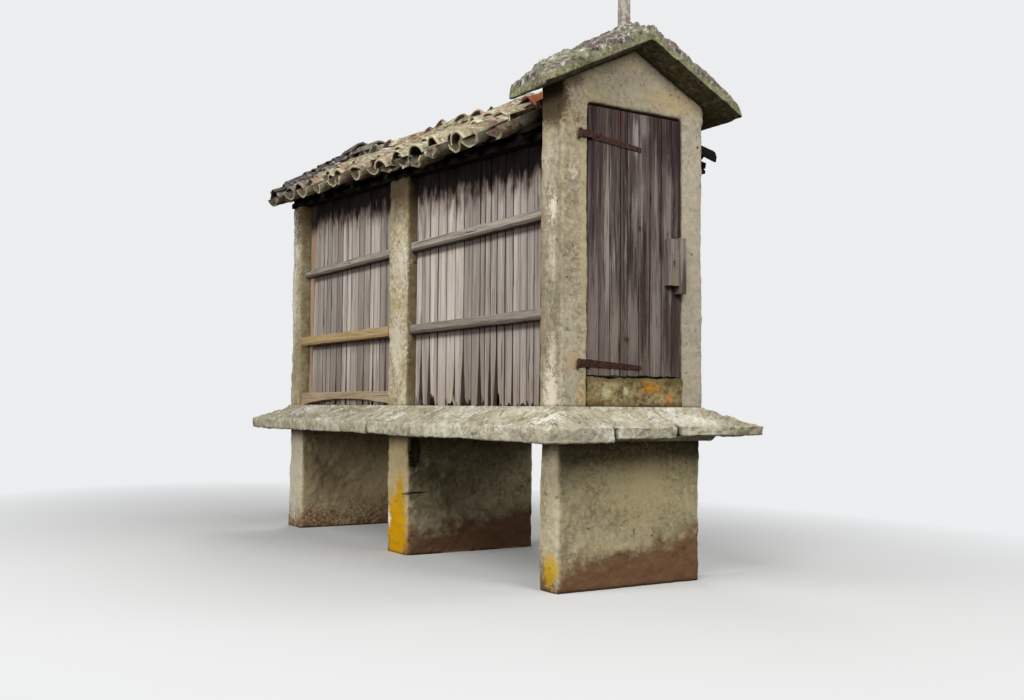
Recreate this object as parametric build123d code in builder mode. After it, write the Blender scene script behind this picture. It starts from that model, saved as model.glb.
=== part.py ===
from build123d import *
import os
from math import hypot, radians, tan

os.makedirs("parts", exist_ok=True)

# A raised granary: a narrow crop store of stone posts and timber bays on three stone piers.
# X runs across the gable, Y from the door end to the rear, Z up from the feet of the piers.
# The origin is on the ground under the middle of the chamber. Lengths are millimetres.

# Chamber
chamber_width = 1030
chamber_length = 4060
board_setback = 75
board_thickness = 22

# Piers, measured along Y from the front face
pier_height = 830
pier_arris = 8
front_pier_setback = 30
front_pier_thickness = 180
middle_pier_start = 1835
middle_pier_thickness = 310
rear_pier_thickness = 285

# Platform of six slabs whose tops fall away outside the chamber
platform_overhang = 245
slab_edge_thickness = 80
slab_rise = 113
slab_joint = 4
left_joint_x = -327
right_joint_x = 123

# Front gable frame and its doorway
frame_depth = 220
opening_left = -340
opening_width = 700
opening_height = 1720
threshold_height = 170
threshold_gap = 6
plate_below_lintel = 193
gable_corner_height = 105
gable_step = 10
gable_slope = 0.5

# Stone cover over the front gable
cover_reach = 175
cover_front = 155
cover_back = 65
cover_shoulder = 540
cover_front_ridge = 95
cover_front_shoulder = 100
cover_front_eave = 58
cover_swell_start = 60
cover_swell_end = 160
cover_swell_ridge = 165
cover_swell_shoulder = 148
cover_swell_eave = 92
cover_back_ridge = 120
cover_back_shoulder = 115
cover_back_eave = 76

# Plain cross on the cover's ridge
cross_thickness = 66
cross_height = 480
cross_span = 300
cross_arm_height = 310
cross_arris = 14

# Stone posts
post_depth = 180
middle_post_start = 1880
middle_post_thickness = 290
rear_post_thickness = 225

# Roof timbers
roof_slope = 0.55
roof_rise = 175
plate_width = 100
plate_height = 40
beam_pocket = 60
beam_tail = 50
ridge_beam_width = 80
ridge_beam_height = 70
tie_width = 100
tie_height = 80
king_post_width = 80
rafter_width = 60
rafter_height = 40
rafter_count = 7
rafter_margin = 70
rafter_tail_left = 90
rafter_tail_right = 230
roof_board_thickness = 20

# Canal tiles
tile_pitch = 235
channel_width = 125
tile_wall = 18
tile_edge_angle = 82
left_eave_overhang = 170
right_eave_overhang = 350
verge_overhang = 80
frame_clearance = 6
ridge_gap = 14
lost_tile_length = 340
lost_tile_reach = 215
ridge_tile_half_width = 85
ridge_tile_rise = 72
ridge_tile_start = 90

# Side rails
rail_height = 65
rail_thickness = 50
lower_rail_level = 497
upper_rail_level = 1070
new_rail_height = 72
new_rail_thickness = 80
corner_strip_width = 45
sill_rail_height = 105
sill_rail_thickness = 64
sill_arch_rise = 46
sill_arch_near_rise = 14
sill_arch_place = 0.64

# Door
door_gap = 6
door_lock_gap = 8
door_head_gap = 12
door_foot_gap = 8
door_setback = 14
door_thickness = 28
ledge_height = 90
ledge_thickness = 22
ledge_inset = 30
strap_thickness = 6
strap_clearance = 6
strap_height = 40
strap_tip_height = 26
strap_reach = 385
strap_crank = 22
pin_radius = 7
pin_play = 0.05
pin_from_opening = 65
knuckle_radius = 12
seat_play = 0.3
upper_strap_drop = 184
upper_strap_fall = 40
lower_strap_rise = 245
lower_strap_fall = 18
pintle_reach = 10
pin_rise = 4
lock_left = 231
lock_width = 75
lock_height = 274
lock_level = 716
lock_thickness = 45
bolt_cover_gap = 2
bolt_cover_width = 44
bolt_cover_drop = 46
bolt_cover_rise = 10
bolt_cover_thickness = 54
keyhole_radius = 7

# Derived levels and places
half_width = chamber_width / 2
platform_half = half_width + platform_overhang
arris_level = pier_height + slab_edge_thickness
floor_level = arris_level + slab_rise
opening_right = opening_left + opening_width
opening_top = floor_level + opening_height
threshold_top = floor_level + threshold_height
gable_corner = opening_top + gable_corner_height
gable_apex = gable_corner + half_width * gable_slope
plate_underside = opening_top - plate_below_lintel
plate_top = plate_underside + plate_height
middle_post_end = middle_post_start + middle_post_thickness
rear_post_start = chamber_length - rear_post_thickness
post_inner = half_width - post_depth
board_face = half_width - board_setback
corner_strip_start = rear_post_start - corner_strip_width
roof_end = chamber_length + verge_overhang
beam_end = chamber_length + beam_tail
roof_start = frame_depth + frame_clearance


def along(distance):
    """Y of a place at this distance behind the front face."""
    return distance - chamber_length / 2


def cross_plane(distance):
    """Upright plane across the chamber, at this distance behind the front face."""
    return Plane(origin=(0, along(distance), 0), x_dir=(1, 0, 0), z_dir=(0, -1, 0))


def side_plane(x):
    """Upright plane along the chamber, whose first axis is Y and whose second is Z."""
    return Plane(origin=(x, 0, 0), x_dir=(0, 1, 0), z_dir=(1, 0, 0))


def lift(distance):
    """The roof stands this much higher here than at the back of the front frame."""
    return roof_rise * (distance - frame_depth) / (chamber_length - frame_depth)


def run_along_roof(start, end):
    """Length and direction of a roof timber between two distances from the front face."""
    rise = lift(end) - lift(start)
    return hypot(end - start, rise), (0, end - start, rise)


def rafter_underside(x):
    """Height of the rafters' underside at the back of the front frame."""
    return plate_top + (half_width - abs(x)) * roof_slope


def tile_seat(x):
    """Height of the roof boards' top at the back of the front frame."""
    return rafter_underside(x) + rafter_height + roof_board_thickness


def finish(piece, name):
    """Name a finished piece and write its STEP file."""
    piece.part.label = name
    export_step(piece.part, f"parts/{name}.step")


def outline(points):
    """Closed outline through the points, in the sketch being built."""
    Polygon(points, align=None)


# Piers
def make_pier(name, start, thickness):
    with BuildPart() as pier:
        with BuildSketch(Plane.XY):
            with Locations((0, along(start + thickness / 2))):
                Rectangle(chamber_width, thickness)
        extrude(amount=pier_height)
        chamfer(pier.edges().filter_by(Axis.Z), pier_arris)
    finish(pier, name)


make_pier("front_pier", front_pier_setback, front_pier_thickness)
make_pier("middle_pier", middle_pier_start, middle_pier_thickness)
make_pier("rear_pier", chamber_length - rear_pier_thickness, rear_pier_thickness)


# Platform
with BuildPart() as platform:
    with BuildSketch(Plane.XY.offset(pier_height)):
        Rectangle(2 * platform_half, chamber_length + 2 * platform_overhang)
    extrude(amount=slab_edge_thickness)
    with BuildSketch(Plane.XY.offset(arris_level)):
        Rectangle(2 * platform_half, chamber_length + 2 * platform_overhang)
    with BuildSketch(Plane.XY.offset(floor_level)):
        Rectangle(chamber_width, chamber_length)
    loft()


def make_slab(name, left, right, near, far):
    """One slab of the platform, cut out of its mass between two pairs of joints."""
    with BuildPart() as slab:
        add(platform.part)
        with BuildSketch(Plane.XY.offset(pier_height)):
            with Locations(((left + right) / 2, (near + far) / 2)):
                Rectangle(right - left, far - near)
        extrude(amount=2 * (floor_level - pier_height), mode=Mode.INTERSECT)
    finish(slab, name)


cross_joint = along(middle_pier_start + middle_pier_thickness / 2)
platform_end = chamber_length / 2 + platform_overhang
slab_rows = {
    "front": (-platform_end, cross_joint - slab_joint / 2),
    "rear": (cross_joint + slab_joint / 2, platform_end),
}
slab_columns = {
    "left": (-platform_half, left_joint_x - slab_joint / 2),
    "middle": (left_joint_x + slab_joint / 2, right_joint_x - slab_joint / 2),
    "right": (right_joint_x + slab_joint / 2, platform_half),
}
for row, (near, far) in slab_rows.items():
    for column, (left, right) in slab_columns.items():
        make_slab(f"{row}_{column}_slab", left, right, near, far)


# Wall plates, let into the jambs
plate_start = frame_depth - beam_pocket
plate_length, plate_direction = run_along_roof(plate_start, beam_end)
plate_lift = lift(plate_start)
with BuildPart() as wall_plate_left:
    with BuildSketch(cross_plane(plate_start)):
        outline([
            (-half_width, plate_underside + plate_lift),
            (plate_width - half_width, plate_underside + plate_lift),
            (plate_width - half_width, rafter_underside(half_width - plate_width) + plate_lift),
            (-half_width, plate_top + plate_lift),
        ])
    extrude(amount=plate_length, dir=plate_direction)
finish(wall_plate_left, "wall_plate_left")

with BuildPart() as wall_plate_right:
    mirror(wall_plate_left.part, about=Plane.YZ)
finish(wall_plate_right, "wall_plate_right")

ridge_beam_half = ridge_beam_width / 2
ridge_beam_top = rafter_underside(0)
ridge_beam_underside = ridge_beam_top - ridge_beam_height
with BuildPart() as ridge_beam:
    with BuildSketch(cross_plane(plate_start)):
        outline([
            (-ridge_beam_half, ridge_beam_underside + plate_lift),
            (ridge_beam_half, ridge_beam_underside + plate_lift),
            (ridge_beam_half, rafter_underside(ridge_beam_half) + plate_lift),
            (0, ridge_beam_top + plate_lift),
            (-ridge_beam_half, rafter_underside(ridge_beam_half) + plate_lift),
        ])
    extrude(amount=plate_length, dir=plate_direction)
finish(ridge_beam, "ridge_beam")


# Front gable frame
def make_jamb(name, left, right, plate):
    """A doorway jamb, with a pocket at its back for the wall plate's end."""
    with BuildPart() as jamb:
        with BuildSketch(Plane.XY.offset(floor_level)):
            with Locations(((left + right) / 2, along(frame_depth / 2))):
                Rectangle(right - left, frame_depth)
        extrude(amount=opening_height)
        add(plate.part, mode=Mode.SUBTRACT)
    finish(jamb, name)


make_jamb("front_left_jamb", -half_width, opening_left, wall_plate_left)
make_jamb("front_right_jamb", opening_right, half_width, wall_plate_right)

# The gable stone steps out a little over the right jamb
with BuildPart() as gable_stone:
    with BuildSketch(cross_plane(0)):
        outline([
            (-half_width, opening_top),
            (half_width + gable_step, opening_top),
            (half_width + gable_step, gable_corner - gable_step * gable_slope),
            (0, gable_apex),
            (-half_width, gable_corner),
        ])
    extrude(amount=frame_depth, dir=(0, 1, 0))
    add(ridge_beam.part, mode=Mode.SUBTRACT)
finish(gable_stone, "gable_stone")

with BuildPart() as threshold_block:
    with BuildSketch(Plane.XY.offset(floor_level)):
        left = opening_left + threshold_gap
        with Locations(((left + opening_right) / 2, along(frame_depth / 2))):
            Rectangle(opening_right - left, frame_depth)
    extrude(amount=threshold_height)
finish(threshold_block, "threshold_block")

# Cover slabs over the front gable, flat below and swelled on top
cover_half = half_width + cover_reach


def cover_section(distance, at_ridge, at_shoulder, at_eave):
    """Section of the left slab, with its thickness at the ridge, the shoulder and the eave."""
    cover_eave = gable_apex - cover_half * gable_slope
    with BuildSketch(cross_plane(distance)) as section:
        outline([
            (0, gable_apex),
            (0, gable_apex + at_ridge),
            (-cover_shoulder, gable_apex - cover_shoulder * gable_slope + at_shoulder),
            (-cover_half, cover_eave + at_eave),
            (-cover_half, cover_eave),
        ])
    return section.sketch


cover_sections = [
    cover_section(-cover_front, cover_front_ridge, cover_front_shoulder, cover_front_eave),
    cover_section(cover_swell_start, cover_swell_ridge, cover_swell_shoulder, cover_swell_eave),
    cover_section(cover_swell_end, cover_swell_ridge, cover_swell_shoulder, cover_swell_eave),
    cover_section(frame_depth + cover_back, cover_back_ridge, cover_back_shoulder, cover_back_eave),
]
with BuildPart() as gable_cover_left:
    loft(cover_sections, ruled=True)
finish(gable_cover_left, "gable_cover_left")

with BuildPart() as gable_cover_right:
    mirror(gable_cover_left.part, about=Plane.YZ)
finish(gable_cover_right, "gable_cover_right")

cover_top_slope = gable_slope + (cover_swell_ridge - cover_swell_shoulder) / cover_shoulder
cross_half = cross_thickness / 2
cross_foot = gable_apex + cover_swell_ridge
cross_side_foot = cross_foot - cross_half * cover_top_slope
with BuildPart() as ridge_cross:
    with BuildSketch(cross_plane(frame_depth / 2 - cross_half)):
        outline([
            (0, cross_foot),
            (cross_half, cross_side_foot),
            (cross_half, cross_foot + cross_height),
            (-cross_half, cross_foot + cross_height),
            (-cross_half, cross_side_foot),
        ])
        with Locations((0, cross_foot + cross_arm_height + cross_half)):
            Rectangle(cross_span, cross_thickness)
    extrude(amount=cross_thickness, dir=(0, 1, 0))
    chamfer(ridge_cross.edges().filter_by(Axis.Z), cross_arris)
finish(ridge_cross, "ridge_cross")


# Stone posts, whose tops follow the wall plates
def make_post(name, start, thickness):
    end = start + thickness
    with BuildPart() as post:
        with BuildSketch(side_plane(-half_width)):
            outline([
                (along(start), floor_level),
                (along(end), floor_level),
                (along(end), plate_underside + lift(end)),
                (along(start), plate_underside + lift(start)),
            ])
        extrude(amount=post_depth, dir=(1, 0, 0))
    finish(post, f"{name}_post_left")
    with BuildPart() as twin:
        mirror(post.part, about=Plane.YZ)
    finish(twin, f"{name}_post_right")


make_post("middle", middle_post_start, middle_post_thickness)
make_post("rear", rear_post_start, rear_post_thickness)

# Trusses: a tie beam on each pair of posts, with a king post under the ridge beam
tie_half = half_width - plate_width
tie_starts = (
    middle_post_start + (middle_post_thickness - tie_width) / 2,
    chamber_length - board_setback - board_thickness - tie_width,
)
with BuildPart() as roof_trusses:
    for start in tie_starts:
        tie_length, tie_direction = run_along_roof(start, start + tie_width)
        tie_foot = plate_underside + lift(start)
        with BuildSketch(cross_plane(start)):
            with Locations((0, tie_foot + tie_height / 2)):
                Rectangle(2 * tie_half, tie_height)
            king_post_height = ridge_beam_underside - plate_underside
            with Locations((0, tie_foot + king_post_height / 2)):
                Rectangle(king_post_width, king_post_height)
        extrude(amount=tie_length, dir=tie_direction)
finish(roof_trusses, "roof_trusses")

# Rafters and roof boards
rafter_run = rear_post_start - roof_start - 2 * rafter_margin
rafter_starts = [
    roof_start + rafter_margin + index * rafter_run / (rafter_count - 1)
    for index in range(rafter_count)
]


def make_slope(name, side, tail):
    """The rafters and the boards of one side of the roof, out to the rafters' tails."""
    foot = half_width + tail
    with BuildPart() as rafters:
        for start in rafter_starts:
            length, direction = run_along_roof(start, start + rafter_width)
            rise = lift(start)
            with BuildSketch(cross_plane(start)):
                outline([
                    (0, rafter_underside(0) + rise),
                    (side * foot, rafter_underside(foot) + rise),
                    (side * foot, rafter_underside(foot) + rafter_height + rise),
                    (0, rafter_underside(0) + rafter_height + rise),
                ])
            extrude(amount=length, dir=direction)
    finish(rafters, f"rafters_{name}")
    length, direction = run_along_roof(roof_start, roof_end)
    rise = lift(roof_start)
    with BuildPart() as roof_boards:
        with BuildSketch(cross_plane(roof_start)):
            outline([
                (0, tile_seat(0) + rise),
                (side * foot, tile_seat(foot) + rise),
                (side * foot, tile_seat(foot) - roof_board_thickness + rise),
                (0, tile_seat(0) - roof_board_thickness + rise),
            ])
        extrude(amount=length, dir=direction)
    finish(roof_boards, f"roof_boards_{name}")


make_slope("left", -1, rafter_tail_left)
make_slope("right", 1, rafter_tail_right)

# Canal tiles: channel and cover tiles side by side, as a wave that runs down each slope
tile_start = roof_start + tile_wall / 2
tile_end = roof_end - tile_wall / 2
tile_field, tile_direction = run_along_roof(tile_start, tile_end)
tile_columns = round(tile_field / tile_pitch)
fitted_pitch = tile_field / tile_columns
cover_width = fitted_pitch - channel_width
bow = tan(radians(tile_edge_angle / 2)) / 2
channel_depth = channel_width * bow
cover_rise = cover_width * bow
wave_level = channel_depth + tile_wall / 2
tile_crown = channel_depth + cover_rise + tile_wall


def make_tiles(name, side, overhang):
    """The tiled side of the roof, from its eave to the ridge."""
    eave = half_width + overhang
    base = tile_seat(eave) + lift(tile_start)
    field_plane = Plane(
        origin=(side * eave, along(tile_start), base), x_dir=tile_direction, z_dir=(1, 0, 0)
    )
    with BuildPart() as tiles:
        with BuildSketch(field_plane):
            with BuildLine():
                for column in range(tile_columns):
                    start = column * fitted_pitch
                    middle = start + channel_width
                    end = start + fitted_pitch
                    ThreePointArc(
                        (start, wave_level),
                        ((start + middle) / 2, wave_level - channel_depth),
                        (middle, wave_level),
                    )
                    ThreePointArc(
                        (middle, wave_level),
                        ((middle + end) / 2, wave_level + cover_rise),
                        (end, wave_level),
                    )
            trace(line_width=tile_wall)
        run = (eave - ridge_gap) * hypot(1, roof_slope)
        extrude(amount=run, dir=(-side, 0, roof_slope))
        if side < 0:
            with BuildSketch(Plane.XY.offset(base - tile_crown)):
                with Locations((-eave + lost_tile_reach / 2, along(roof_start + lost_tile_length / 2))):
                    Rectangle(lost_tile_reach, lost_tile_length)
            extrude(amount=4 * tile_crown, mode=Mode.SUBTRACT)
    finish(tiles, f"roof_tiles_{name}")


make_tiles("left", -1, left_eave_overhang)
make_tiles("right", 1, right_eave_overhang)

ridge_run_start = frame_depth + ridge_tile_start
ridge_length, ridge_direction = run_along_roof(ridge_run_start, roof_end)
ridge_inner = ridge_tile_half_width - tile_wall
crown_outer = tile_seat(ridge_tile_half_width) + tile_crown + seat_play + lift(ridge_run_start)
crown_inner = tile_seat(ridge_inner) + tile_crown + seat_play + lift(ridge_run_start)
ridge_crown = crown_outer + ridge_tile_rise
with BuildPart() as ridge_tiles:
    with BuildSketch(cross_plane(ridge_run_start)):
        with BuildLine():
            ThreePointArc(
                (-ridge_tile_half_width, crown_outer),
                (0, ridge_crown),
                (ridge_tile_half_width, crown_outer),
            )
            Line((ridge_tile_half_width, crown_outer), (ridge_inner, crown_inner))
            ThreePointArc(
                (ridge_inner, crown_inner),
                (0, ridge_crown - tile_wall),
                (-ridge_inner, crown_inner),
            )
            Line((-ridge_inner, crown_inner), (-ridge_tile_half_width, crown_outer))
        make_face()
    extrude(amount=ridge_length, dir=ridge_direction)
finish(ridge_tiles, "ridge_tiles")


# Boards of the long sides, from the platform to the wall plates
def make_boards(name, side, start, end):
    """The boards of one side between two distances from the front face."""
    with BuildPart() as boards:
        with BuildSketch(side_plane(side * board_face)):
            outline([
                (along(start), floor_level),
                (along(end), floor_level),
                (along(end), plate_underside + lift(end)),
                (along(start), plate_underside + lift(start)),
            ])
        extrude(amount=board_thickness, dir=(-side, 0, 0))
    finish(boards, name)


make_boards("front_bay_boards_left", -1, frame_depth, middle_post_start)
make_boards("front_bay_boards_right", 1, frame_depth, middle_post_start)
make_boards("rear_bay_boards_left", -1, middle_post_end, corner_strip_start)
make_boards("rear_bay_boards_right", 1, middle_post_end, rear_post_start)
make_boards("corner_strip_left", -1, corner_strip_start, rear_post_start)

# Rear wall boards, with shoulders over the posts and a notch for the ridge beam
rear_board_face = chamber_length - board_setback
rear_boards_start = rear_board_face - board_thickness
rear_shoulder = plate_underside + lift(rear_board_face)
roof_underside = rafter_height + lift(rear_boards_start)
with BuildPart() as rear_wall_boards:
    with BuildSketch(cross_plane(rear_boards_start)):
        outline([
            (-post_inner, floor_level),
            (post_inner, floor_level),
            (post_inner, rear_shoulder),
            (tie_half, rear_shoulder),
            (tie_half, rafter_underside(tie_half) + roof_underside),
            (0, rafter_underside(0) + roof_underside),
            (-tie_half, rafter_underside(tie_half) + roof_underside),
            (-tie_half, rear_shoulder),
            (-post_inner, rear_shoulder),
        ])
    extrude(amount=board_thickness, dir=(0, 1, 0))
    add(ridge_beam.part, mode=Mode.SUBTRACT)
finish(rear_wall_boards, "rear_wall_boards")


# Rails across the boards
def rail(side, start, end, level, height, thickness=rail_thickness):
    """One straight rail of one side, in the part being built."""
    with BuildSketch(side_plane(side * board_face)) as face:
        with Locations(((along(start) + along(end)) / 2, floor_level + level + height / 2)):
            Rectangle(end - start, height)
    extrude(face.sketch, amount=thickness, dir=(side, 0, 0))


with BuildPart() as rails_left:
    rail(-1, frame_depth, middle_post_start, lower_rail_level, rail_height)
    rail(-1, frame_depth, middle_post_start, upper_rail_level, rail_height)
    rail(-1, middle_post_end, rear_post_start, upper_rail_level, rail_height)
finish(rails_left, "rails_left")

with BuildPart() as new_rail_left:
    rail(-1, middle_post_end, rear_post_start, lower_rail_level, new_rail_height, new_rail_thickness)
finish(new_rail_left, "new_rail_left")

# The sill rail's underside is arched, highest towards the rear
sill_near = along(middle_post_end)
sill_far = along(rear_post_start)
sill_crown = sill_near + (sill_far - sill_near) * sill_arch_place
sill_top = floor_level + sill_rail_height
with BuildPart() as sill_rail_left:
    with BuildSketch(side_plane(-board_face)):
        with BuildLine():
            Spline(
                (sill_near, floor_level + sill_arch_near_rise),
                (sill_crown, floor_level + sill_arch_rise),
                (sill_far, floor_level),
            )
            Polyline(
                (sill_far, floor_level),
                (sill_far, sill_top),
                (sill_near, sill_top),
                (sill_near, floor_level + sill_arch_near_rise),
            )
        make_face()
    extrude(amount=sill_rail_thickness, dir=(-1, 0, 0))
finish(sill_rail_left, "sill_rail_left")

with BuildPart() as rails_right:
    for level in (lower_rail_level, upper_rail_level):
        rail(1, frame_depth, middle_post_start, level, rail_height)
        rail(1, middle_post_end, rear_post_start, level, rail_height)
finish(rails_right, "rails_right")

with BuildPart() as rails_rear:
    with BuildSketch(cross_plane(rear_board_face)):
        for level in (lower_rail_level, upper_rail_level):
            with Locations((0, floor_level + level + rail_height / 2)):
                Rectangle(2 * post_inner, rail_height)
    extrude(amount=rail_thickness, dir=(0, 1, 0))
finish(rails_rear, "rails_rear")

# Door leaf: boards with three ledges behind, hung on strap hinges
door_left = opening_left + door_gap
door_right = opening_right - door_lock_gap
door_foot = threshold_top + door_foot_gap
door_head = opening_top - door_head_gap
door_middle = (door_left + door_right) / 2
with BuildPart() as door_boards:
    with BuildSketch(cross_plane(door_setback)):
        with Locations((door_middle, (door_foot + door_head) / 2)):
            Rectangle(door_right - door_left, door_head - door_foot)
    extrude(amount=door_thickness, dir=(0, 1, 0))
finish(door_boards, "door_boards")

upper_strap_level = opening_top - upper_strap_drop
lower_strap_level = floor_level + lower_strap_rise
ledge_levels = (
    lower_strap_level,
    (lower_strap_level + upper_strap_level) / 2,
    upper_strap_level,
)
with BuildPart() as door_ledges:
    with BuildSketch(cross_plane(door_setback + door_thickness)):
        for level in ledge_levels:
            with Locations((door_middle, level)):
                Rectangle(door_right - door_left - 2 * ledge_inset, ledge_height)
    extrude(amount=ledge_thickness, dir=(0, 1, 0))
finish(door_ledges, "door_ledges")

# The hinge pins stand in front of the left jamb
pin_x = opening_left - pin_from_opening
pin_y = along(-(strap_clearance + knuckle_radius))
strap_back = along(-strap_clearance)
strap_front = strap_back - strap_thickness
leaf_front = along(door_setback)
leaf_strap_front = leaf_front - strap_thickness
crank_start = opening_left + strap_crank - strap_thickness
crank_end = crank_start + strap_crank
strap_tip = door_left + strap_reach


def strap(level, fall):
    """One strap with its knuckle, in the part being built: the bar drops towards its tip."""
    with BuildSketch(Plane.XY.offset(level - strap_height - fall)) as plan:
        outline([
            (pin_x, strap_front),
            (crank_start + strap_thickness / 2, strap_front),
            (crank_end + strap_thickness / 2, leaf_strap_front),
            (strap_tip, leaf_strap_front),
            (strap_tip, leaf_front),
            (crank_end, leaf_front),
            (crank_start, strap_back),
            (pin_x, strap_back),
        ])
    bar = extrude(plan.sketch, amount=2 * strap_height + fall, mode=Mode.PRIVATE)
    with BuildSketch(cross_plane(-2 * knuckle_radius)) as side_view:
        outline([
            (pin_x, level - strap_height / 2),
            (crank_start, level - strap_height / 2),
            (strap_tip, level - fall - strap_tip_height / 2),
            (strap_tip, level - fall + strap_tip_height / 2),
            (crank_start, level + strap_height / 2),
            (pin_x, level + strap_height / 2),
        ])
    taper = extrude(side_view.sketch, amount=4 * strap_height, dir=(0, 1, 0), mode=Mode.PRIVATE)
    add(bar & taper)
    with Locations((pin_x, pin_y, level)):
        Cylinder(knuckle_radius, strap_height)
        Cylinder(pin_radius + pin_play, 2 * strap_height, mode=Mode.SUBTRACT)


with BuildPart() as strap_hinges:
    strap(upper_strap_level, upper_strap_fall)
    strap(lower_strap_level, lower_strap_fall)
finish(strap_hinges, "strap_hinges")

# Pintles: a pin on an arm that is let into the jamb's face
pin_height = pintle_reach + strap_height + pin_rise
with BuildPart() as pintles:
    for level in (upper_strap_level, lower_strap_level):
        arm_top = level - strap_height / 2 - seat_play
        with BuildSketch(Plane.XY.offset(arm_top - pintle_reach)):
            with Locations((pin_x, pin_y)):
                Circle(pin_radius)
        extrude(amount=pin_height)
        with BuildSketch(Plane.XY.offset(arm_top - pintle_reach)):
            with Locations((pin_x, (pin_y + along(0)) / 2)):
                Rectangle(2 * pin_radius, along(0) - pin_y)
            with Locations((pin_x, pin_y)):
                Circle(knuckle_radius)
        extrude(amount=pintle_reach)
finish(pintles, "pintles")

# Lock: a wooden case with a keyhole, and the taller block that covers its bolt
lock_right = lock_left + lock_width
lock_foot = floor_level + lock_level
cover_left = lock_right + bolt_cover_gap
cover_block_height = bolt_cover_drop + lock_height + bolt_cover_rise
with BuildPart() as lock_case:
    with BuildSketch(cross_plane(door_setback)):
        with Locations(((lock_left + lock_right) / 2, lock_foot + lock_height / 2)):
            Rectangle(lock_width, lock_height)
    extrude(amount=lock_thickness, dir=(0, -1, 0))
    with BuildSketch(cross_plane(door_setback)):
        with Locations((
            cover_left + bolt_cover_width / 2,
            lock_foot - bolt_cover_drop + cover_block_height / 2,
        )):
            Rectangle(bolt_cover_width, cover_block_height)
    extrude(amount=bolt_cover_thickness, dir=(0, -1, 0))
    with BuildSketch(cross_plane(door_setback - lock_thickness)):
        keyhole_level = lock_foot + lock_height / 2
        with Locations(((lock_left + lock_right) / 2, keyhole_level)):
            Circle(keyhole_radius)
        with Locations(((lock_left + lock_right) / 2, keyhole_level - 2 * keyhole_radius)):
            Rectangle(keyhole_radius, 3 * keyhole_radius)
    extrude(amount=lock_thickness / 2, dir=(0, 1, 0), mode=Mode.SUBTRACT)
finish(lock_case, "lock_case")
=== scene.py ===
import math

import bmesh
import bpy
import numpy as np
from mathutils import Matrix, Vector


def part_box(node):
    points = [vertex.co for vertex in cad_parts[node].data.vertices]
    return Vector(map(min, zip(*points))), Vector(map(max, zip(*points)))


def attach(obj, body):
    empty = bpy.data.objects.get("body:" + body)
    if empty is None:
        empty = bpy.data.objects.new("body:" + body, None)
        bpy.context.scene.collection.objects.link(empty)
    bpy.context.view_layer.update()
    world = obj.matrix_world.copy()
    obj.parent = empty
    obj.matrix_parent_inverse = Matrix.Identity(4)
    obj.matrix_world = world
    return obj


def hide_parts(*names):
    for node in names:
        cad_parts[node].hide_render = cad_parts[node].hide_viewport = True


# Looks of a raised granary, built round its solids. Lengths are metres.
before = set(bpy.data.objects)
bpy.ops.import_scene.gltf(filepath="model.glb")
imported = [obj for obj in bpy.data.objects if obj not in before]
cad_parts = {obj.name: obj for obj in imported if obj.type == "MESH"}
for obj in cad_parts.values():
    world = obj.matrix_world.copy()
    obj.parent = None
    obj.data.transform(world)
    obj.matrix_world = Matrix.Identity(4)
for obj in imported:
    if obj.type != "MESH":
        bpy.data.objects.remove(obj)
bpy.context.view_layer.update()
scene = bpy.context.scene

# Main places, the same as the solids'
BOARD_FACE = 0.44
BOARD_THICKNESS = 0.022
FLOOR_LEVEL = 1.023
FRAME_BACK = -1.81
MIDDLE_POST = (-0.15, 0.14)
REAR_POST_FRONT = 1.805
PLATE_UNDERSIDE = 2.55
ROOF_SLOPE = 0.55
ROOF_RISE = 0.175 / 3.84
RIDGE_SEAT = 2.93325
ROOF_REAR = 2.11
EAVE_LEFT = 0.685
EAVE_RIGHT = 0.865

# Faces on which single patches lie: the left side, the stone front and the door's leaf
LEFT = -0.515
FRONT = -2.03
LEAF = -2.016

ORIGIN = (0, 0, 0)
EVEN = (1, 1, 1)


def roof_lift(y):
    """The roof stands this much higher here than at the back of the stone front."""
    return (y - FRAME_BACK) * ROOF_RISE


# Node trees
def add_node(tree, kind, inputs=None, **settings):
    """A node whose inputs are values, or the sockets that feed them."""
    node = tree.nodes.new(kind)
    for setting, value in settings.items():
        setattr(node, setting, value)
    for key, value in (inputs or {}).items():
        if isinstance(value, bpy.types.NodeSocket):
            tree.links.new(value, node.inputs[key])
        else:
            node.inputs[key].default_value = value
    return node


def maths(tree, operation, *values):
    return add_node(tree, "ShaderNodeMath", dict(enumerate(values)), operation=operation).outputs[0]


def vectors(tree, operation, first, second=ORIGIN):
    """Maths on vectors. A scale's second value is a number."""
    inputs = {0: first, "Scale" if operation == "SCALE" else 1: second}
    node = add_node(tree, "ShaderNodeVectorMath", inputs, operation=operation)
    return node.outputs["Value" if operation in ("LENGTH", "DOT_PRODUCT") else "Vector"]


def between(tree, value, low, high, out_low=0.0, out_high=1.0):
    """The value's place between two limits, from 0 to 1 unless others are given."""
    inputs = {"Value": value, "From Min": low, "From Max": high, "To Min": out_low, "To Max": out_high}
    return add_node(tree, "ShaderNodeMapRange", inputs).outputs["Result"]


def over(tree, mask, under, colour, strength=1.0, mode="MIX"):
    """A colour laid over another where the mask is 1. Three values are a colour as a screen shows it, 0 to 255."""
    if strength != 1.0:
        mask = maths(tree, "MULTIPLY", mask, strength)
    under, colour = (
        tuple((value / 255) ** 2.2 for value in tint) + (1.0,) if isinstance(tint, tuple) and len(tint) == 3 else tint
        for tint in (under, colour)
    )
    inputs = {0: mask, 6: under, 7: colour}
    return add_node(tree, "ShaderNodeMix", inputs, data_type="RGBA", blend_type=mode, clamp_factor=True).outputs[2]


def noise(tree, vector, scale, detail=3.0, roughness=0.55, distortion=0.0):
    inputs = {"Vector": vector, "Scale": scale, "Detail": detail, "Roughness": roughness, "Distortion": distortion}
    return add_node(tree, "ShaderNodeTexNoise", inputs).outputs["Fac"]


SOCKET_TYPES = {float: "NodeSocketFloat", int: "NodeSocketInt", tuple: "NodeSocketVector"}


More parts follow.
